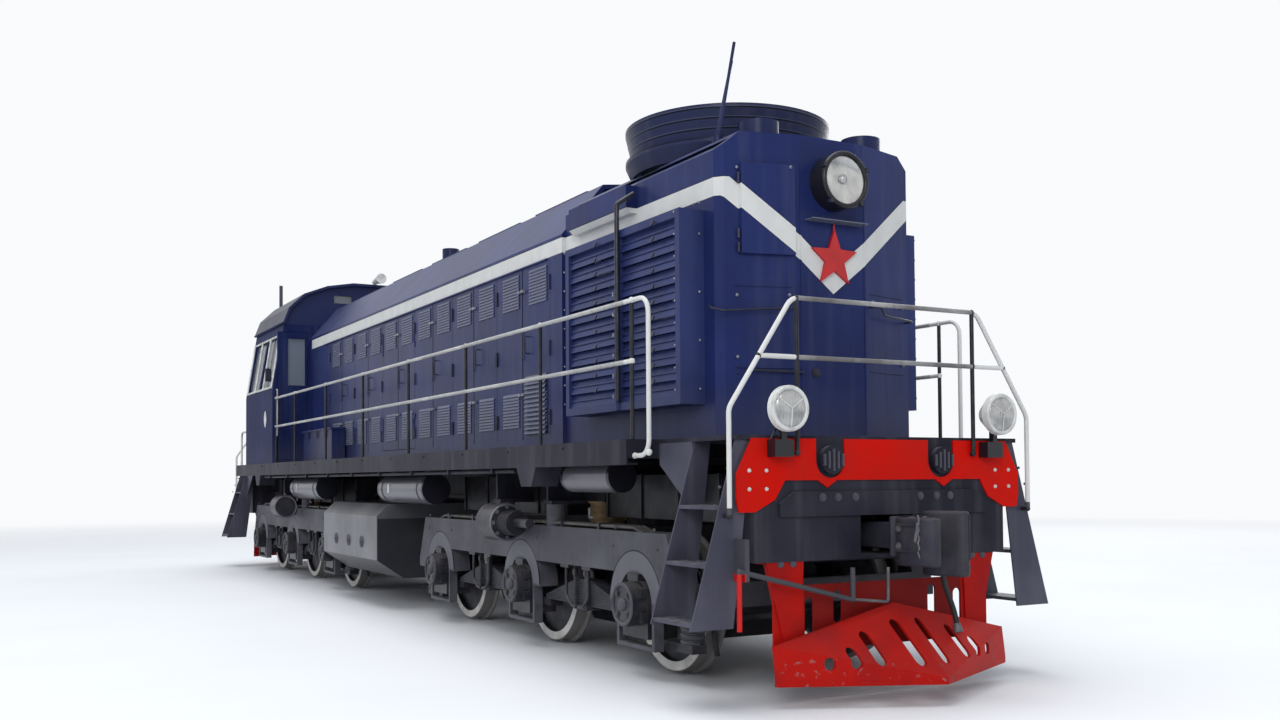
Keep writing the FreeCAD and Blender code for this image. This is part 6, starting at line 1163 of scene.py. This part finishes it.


# ---------------------------------------------------------------- roof fan
# A two-tier rolled ring with stiffening beads round the fan, which turns on an upright
# shaft; the blades are cast aluminium and the gearbox below is black.
# Rolled grooves part the upper tier into three bands, drawn in paint as painted shade with a painted
# highlight above each.
ring_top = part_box("fan_ring")[1].z - 0.03
band_rise = (ring_top - up(4.083)) / 3
dress(livery("fan ring enamel", blue=(0.016, 0.021, 0.056),
             grooves=[ring_top - band_rise * step for step in range(4)]), "fan_ring")
blades = Finish("fan blades", (0.24, 0.25, 0.27), 0.38).fade((0.13, 0.13, 0.14), 0.7, 6)
dress(blades.grain(40, 0.001).done(metallic=0.6), "fan_rotor")
dress(oily_iron, "fan_gearbox")


# ---------------------------------------------------------------- engine hood and doors
# The long hood's sides are rows of double doors in pressed sheet, with louvres above and
# below, knuckle hinges at the pairs' outer edges and a handle where two leaves meet.
dress(band_enamel, "engine_hood", "cabinet_hood")
door_enamel = livery("door enamel", blue=(0.012, 0.020, 0.085), leaves=True)
dress(door_enamel, *[name for name in nodes if name.startswith("hood_door")])
LEAVES = 12
leaf_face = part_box("hood_doors_latched")[1].y - 0.012
for side_name, side in SIDES:
    # only the fourth pair of leaves swings
    swinging = {6: f"hood_door_body_{side_name}_1", 7: f"hood_door_body_{side_name}_2"}
    face, bar_y, knuckle_y, proud = (side * (leaf_face + out) for out in (0, 0.010, 0.009, 0.045))
    for body in ("locomotive", *swinging.values()):
        latches, bars, knuckles, handles = [], [], [], []
        for index in range(LEAVES):
            if swinging.get(index, "locomotive") != body:
                continue
            front = LEAF_FRONT_EDGE - LEAF_PITCH * index
            leads = index % 2 == 0
            meeting, outer = (front - LEAF_PITCH, front) if leads else (front, front - LEAF_PITCH)
            inward = 1 if leads else -1
            latches += [((meeting + inward * 0.040, side * (leaf_face + 0.014), up(height)),
                         (0, side, 0), (0.055, 0.026, 0.026)) for height in (3.24, 2.26)]
            if leads:
                # locking bar up the meeting edge, and a handle beside it
                bars.append([(meeting + 0.016, bar_y, up(height)) for height in (2.58, 2.90)])
                handles.append([(meeting + 0.15, y, up(height)) for y, height in (
                    (face, 2.80), (proud, 2.80), (proud, 2.64), (face, 2.64))])
            if body == "locomotive":
                knuckles += [[(outer - inward * 0.012, knuckle_y, up(height + half))
                              for half in (-0.07, 0.07)] for height in (3.25, 2.65, 2.02)]
        tag = body.replace("hood_door_body_", "") + "_" + side_name
        fit = fitter(tag, body, "navy_paint")
        fit(plates, "door_latches", latches, bolt_steel, slot="fitting_steel")
        if knuckles:
            fit(pipes, "door_knuckles", knuckles, 0.007, dark_fittings)
        if bars:
            fit(pipes, "locking_bars", bars, 0.005, dark_fittings)
            fit(pipes, "door_handles", handles, 0.006, dark_fittings, slot="rail_paint", bend=0.02)

# coarse inlet grille low on the foremost leaf
GRILLE_X = 4.125
grille_back = [((GRILLE_X, leaf_face + 0.002, up(2.155)), OUTWARD, (0.48, 0.56, 0.006))]
plates("inlet_backs", both(grille_back), dark_fittings, "navy_paint")
grille = [((GRILLE_X, leaf_face + 0.014, up(1.90 + 0.042 * row)), (0, 1, 0.6),
           (0.46, 0.045, 0.008)) for row in range(13)]
plates("inlet_grilles", both(grille), door_enamel, "navy_paint")
# drip strip over the doors, and hatch frames with bolts along the roof
drips = [((0.52, leaf_face + 0.010, up(3.462)), OUTWARD, (7.70, 0.012, 0.020))]
plates("drip_strips", both(drips), band_enamel, "navy_paint")
roof_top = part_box("engine_hood")[1].z
ROOF_FACING = (0, 0.115, 1)
HATCH_FRONT, HATCH_PITCH = 3.75, 1.55
hatches = [HATCH_FRONT - HATCH_PITCH * row for row in range(5)]
hatch_frames = [((x, 0.26, roof_top - 0.022), ROOF_FACING, (1.15, 0.50, 0.016)) for x in hatches]
plates("roof_hatches", both(hatch_frames), door_enamel, "navy_paint")
hatch_bolts = [((x + step * 0.13, 0.47, roof_top - 0.036), ROOF_FACING)
               for x in hatches for step in range(-4, 5)]
heads("hatch_bolts", both(hatch_bolts), 0.011, 0.009, bolt_steel, "navy_paint")
grips = [[(x, across, roof_top + rise) for across, rise in (
    (-0.08, -0.01), (-0.08, 0.05), (0.08, 0.05), (0.08, -0.02))] for x in (3.3, 1.75, -2.9)]
pipes("hatch_grips", grips, 0.009, dark_fittings, "rail_paint", bend=0.02)


# ---------------------------------------------------------------- tool box
# A sheet steel chest stands on the deck against the hood, its lid held down by three
# flat straps.
dress(door_enamel, "tool_box")
low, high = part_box("tool_box")
straps = [((low.x + share * (high.x - low.x), low.y - 0.002, high.z - 0.07), (0, -1, 0),
           (0.05, 0.12, 0.008)) for share in (0.22, 0.5, 0.78)]
plates("tool_box_straps", straps, dark_fittings, "navy_paint")


# ---------------------------------------------------------------- cab
# Welded sheet cab with windows all round in pale aluminium frames, rubber-sealed panes,
# side mirrors and grab rails; below its windows the sides are plain blue.
CAB_BLUE = (0.010, 0.016, 0.065)
cab_enamel = livery("cab enamel", blue=CAB_BLUE, glazed=True, gloss=0.5, sheen=0.03)
dress(cab_enamel, "cab_body", "cab_door_front", "cab_door_rear")
roof = Finish("roof paint", (0.050, 0.053, 0.075), 0.5).fade((0.10, 0.10, 0.125), 0.6, 1.3)
roof.dust((0.26, 0.26, 0.28), 0.5).grain(30, 0.001)
gable = (1 - roof.upward.ramp(0.02, 0.06)) * abs(roof.x - CAB_MIDDLE).over(0.9)
dress(roof.lay(gable, CAB_BLUE, 0.35).done(), "cab_roof")
pane = Finish("window glass", (0.16, 0.18, 0.22), 0.05)
pane.lay(pane.noise(2.2, 4).ramp(0.5, 0.7) * 0.4, (0.28, 0.29, 0.30), 0.5)
dress(pane.done(alpha=0.55, specular_ior_level=0.9), "cab_glass")
inside = Finish("cab inside", (0.18, 0.20, 0.19), 0.55).fade((0.10, 0.11, 0.11), 0.6, 4)
dress(inside.grain(50, 0.0006).done(), "cab_interior")

# the cab's side stands upright to the waist, then leans in to the eaves
CAB_HALF, EAVES_HALF = 1.5, 1.33
WAIST, EAVES = 2.83, 3.86


def side_y(height):
    """How far out the cab's side stands at a height over the rail."""
    return CAB_HALF - max(0, height - WAIST) * (CAB_HALF - EAVES_HALF) / (EAVES - WAIST)


# upright window bars between the sill and head strips, all on the leaning side
BAR_PLACES = (-4.34, -4.93, -5.51, -6.10)
frames = [[(x, side_y(2.90) + 0.008, up(2.88)), (x, side_y(3.68) + 0.008, up(3.70))]
          for x in BAR_PLACES]
frames += [[(x, side_y(height) + 0.008, up(height)) for x in (BAR_PLACES[0], BAR_PLACES[-1])]
           for height in (2.89, 3.69)]
pipes("window_bars", both(frames), 0.016, pale_metal, "fitting_steel")
oval = [((-4.72, CAB_HALF + 0.006, up(2.42)), OUTWARD, (0.6, 1.0, 1.0))]
heads("oval_plates", both(oval), 0.13, 0.012, pale_metal, "fitting_steel")
bolt_column = [((CAB_FRONT + 0.002, 0.925, up(2.2 + 0.14 * row)), FORWARD) for row in range(7)]
heads("cab_bolts", both(bolt_column), 0.010, 0.008, bolt_steel, "navy_paint")
grab_rails = [[(x + out, side * 1.44, up(height)) for out, height in (
    (0, 2.15), (stand, 2.15), (stand, 2.85), (0, 2.85))]
    for x, stand, side in ((CAB_FRONT, 0.06, -1), (CAB_REAR, -0.06, 1))]
pipes("cab_grab_rails", grab_rails, 0.011, rail_paint, "rail_paint", bend=0.03)
gutters = [[(CAB_FRONT + 0.04, 1.352, up(3.872)), (CAB_REAR - 0.04, 1.352, up(3.872))]]
pipes("cab_gutters", both(gutters), 0.014, cab_enamel, "navy_paint")
MIRROR_X = -4.40
mirror_arms = [[(MIRROR_X - 0.02, 1.42, up(3.02)), (MIRROR_X, 1.535, up(3.02)),
                (MIRROR_X, 1.535, up(3.20))]]
pipes("mirror_arms", both(mirror_arms), 0.010, dark_fittings, "fitting_steel", bend=0.04)
mirrors = [((MIRROR_X, 1.53, up(3.08)), FORWARD, (0.20, 0.09, 0.03))]
plates("mirrors", both(mirrors), dark_fittings, "fitting_steel")


# ---------------------------------------------------------------- rear hood and engine
# A low equipment hood behind the cab, and the engine with its generator inside the long
# hood: grey castings behind the louvres.
dress(cab_enamel, "rear_hood")
dress(oily_iron, "engine_and_generator")
low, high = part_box("rear_hood")
rear_doors = [((low.x - 0.004, 0.30, up(2.22)), (-1, 0, 0), (0.86, 0.56, 0.010))]
plates("rear_hood_doors", both(rear_doors), cab_enamel, "navy_paint")
rear_knuckles = [[(low.x - 0.012, 0.585, up(height + half)) for half in (-0.06, 0.06)]
                 for height in (1.95, 2.48)]
pipes("rear_hood_hinges", both(rear_knuckles), 0.009, dark_fittings, "navy_paint")
rear_grips = [[(low.x - out, 0.05, up(height)) for out, height in (
    (0.008, 2.16), (0.05, 2.16), (0.05, 2.30), (0.008, 2.30))]]
pipes("rear_hood_grips", both(rear_grips), 0.007, dark_fittings, "rail_paint", bend=0.02)
vents = [((low.x + 0.28 + 0.045 * row, high.y + 0.002, up(2.22)), OUTWARD, (0.012, 0.55, 0.016))
         for row in range(12)]
plates("rear_hood_vents", both(vents), cab_enamel, "navy_paint")


# ---------------------------------------------------------------- roof fittings and horn
# Filler caps, exhaust stack, side ducts, vent pipe and aerial in hood colour; the horn is
# pale cast metal.
dress(livery("fitting enamel", blue=(0.012, 0.017, 0.060)), "roof_fittings")
dress(pale_metal, "horn")


# ---------------------------------------------------------------- lamps
# One large headlight in a black rubber rim, a smaller one at the cab's rear, and a lamp
# over each buffer place with a white rim and a three-spoke wire guard.
lamp_body = Finish("lamp enamel", (0.010, 0.010, 0.014), 0.35)
rim_face = abs(lamp_body.x).over(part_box("lamps")[1].x - 0.048)
lamp_body.lay(lamp_body.z.under(up(2.2)) * rim_face, (0.66, 0.66, 0.64), 0.4)
dress(lamp_body.done(coat_weight=0.4), "lamps")
lens = Finish("lamp lens", (0.42, 0.42, 0.41), 0.08).fade((0.16, 0.16, 0.17), 0.8, 9)
lens.dent((lens.y * 260).sine(), 0.0012)
lamp_lens = lens.done(coat_weight=1.0, coat_roughness=0.05, metallic=0.35)
mirror = Finish("reflector", (0.60, 0.60, 0.58), 0.16).fade((0.22, 0.21, 0.20), 0.6, 7)
reflector = mirror.done(metallic=0.75)
rubber_rim = Finish("lamp rim", (0.008, 0.008, 0.011), 0.45).fade((0.03, 0.03, 0.035), 0.5, 10)
rim_black = rubber_rim.done(coat_weight=0.2)
DOME_STEPS = 8
BEAD_STEPS = 12


def domed(radius, bulge, depth):
    """Profile of a closed lens: a shallow dome in front of a flat back."""
    angles = (math.pi / 2 * step / DOME_STEPS for step in range(1, DOME_STEPS + 1))
    front = [(radius * math.sin(angle), depth + bulge * math.cos(angle)) for angle in angles]
    return [(0, depth + bulge)] + front + [(radius, 0), (0, 0)]


def beaded(radius, out):
    """Profile of a round bead."""
    angles = (math.tau * step / BEAD_STEPS for step in range(BEAD_STEPS + 1))
    return [(radius + out * math.cos(angle), out * math.sin(angle)) for angle in angles]


head_x, head_z = HEAD_X + 0.15, up(3.614)
# the glass of the solid is 35 mm inside the rim; the dish lies in front of it
dish = [(0, 0.004), (0.05, 0.005), (0.11, 0.012), (0.165, 0.026), (0.184, 0.036), (0.188, 0.030),
        (0.188, 0), (0, 0)]
turned("headlight_dish", dish, (head_x - 0.034, 0, head_z), FORWARD, reflector, "lamp_paint")
turned("headlight_bulb", domed(0.036, 0.026, 0.004), (head_x - 0.030, 0, head_z + 0.01), FORWARD,
       lamp_lens, "lamp_paint")
turned("headlight_rim", beaded(0.192, 0.020), (head_x, 0, head_z), FORWARD, rim_black, "lamp_paint")
clamps = [((head_x + 0.006, across, head_z + rise), FORWARD, (0.03, 0.03, 0.035))
          for across, rise in on_circle(0.212, (25, 155, 230, 310))]
plates("headlight_clamps", clamps, dark_fittings, "lamp_paint")

# how far a buffer lamp's face stands out of the end plate, and its place across and up
LAMP_OUT, LAMP_Y, LAMP_HEIGHT = 0.151, 0.937, 1.903
for end_name, end in ENDS:
    for side_name, side in SIDES:
        fit = fitter(f"{end_name}_{side_name}", slot="lamp_paint")

        def at(out, across, rise):
            """A place ahead of the lamp's face, towards its side and over its middle."""
            return (end * (end_face + LAMP_OUT + out), side * (LAMP_Y + across),
                    up(LAMP_HEIGHT + rise))

        fit(turned, "buffer_lens", domed(0.122, 0.022, 0.002), at(0, 0, 0), (end, 0, 0),
            lamp_lens, turns=28)
        fit(turned, "buffer_rim", beaded(0.134, 0.016), at(0, 0, 0), (end, 0, 0), pale_metal,
            turns=32)
        middle, bent, tips = ([at(out, side * across, rise) for across, rise in
                               on_circle(radius, (35, 145, 270))]
                              for out, radius in ((0.028, 0), (0.020, 0.075), (0.010, 0.14)))
        fit(pipes, "buffer_guard", zip(middle, bent, tips), 0.0045, pale_metal, bend=0.03)
        cable = [[at(-0.11, 0.02, -0.10), at(-0.12, 0.07, -0.20), at(-0.16, 0.05, -0.30),
                  at(-0.20, 0.03, -0.20)]]
        fit(pipes, "buffer_lamp_cable", cable, 0.009, rim_black, slot="fitting_steel", bend=0.05)
rear_lamp = (CAB_REAR - 0.09, 0, up(4.11))
turned("rear_headlight_lens", domed(0.102, 0.016, 0.001), rear_lamp, (-1, 0, 0), lamp_lens,
       "lamp_paint", turns=28)
turned("rear_headlight_rim", beaded(0.110, 0.012), rear_lamp, (-1, 0, 0), rim_black,
       "lamp_paint", turns=32)


# ---------------------------------------------------------------- front star
# A pressed steel star, plain red, hangs from a thin shelf by a red rod; its five ridges
# catch the light.
star_red = Finish("star red", (0.50, 0.010, 0.012), 0.32).fade((0.34, 0.010, 0.012), 0.6, 8)
star_red.lay(star_red.z.over(up(3.315)), (0.10, 0.11, 0.15), 0.5)
dress(star_red.done(coat_weight=0.4), "front_star")
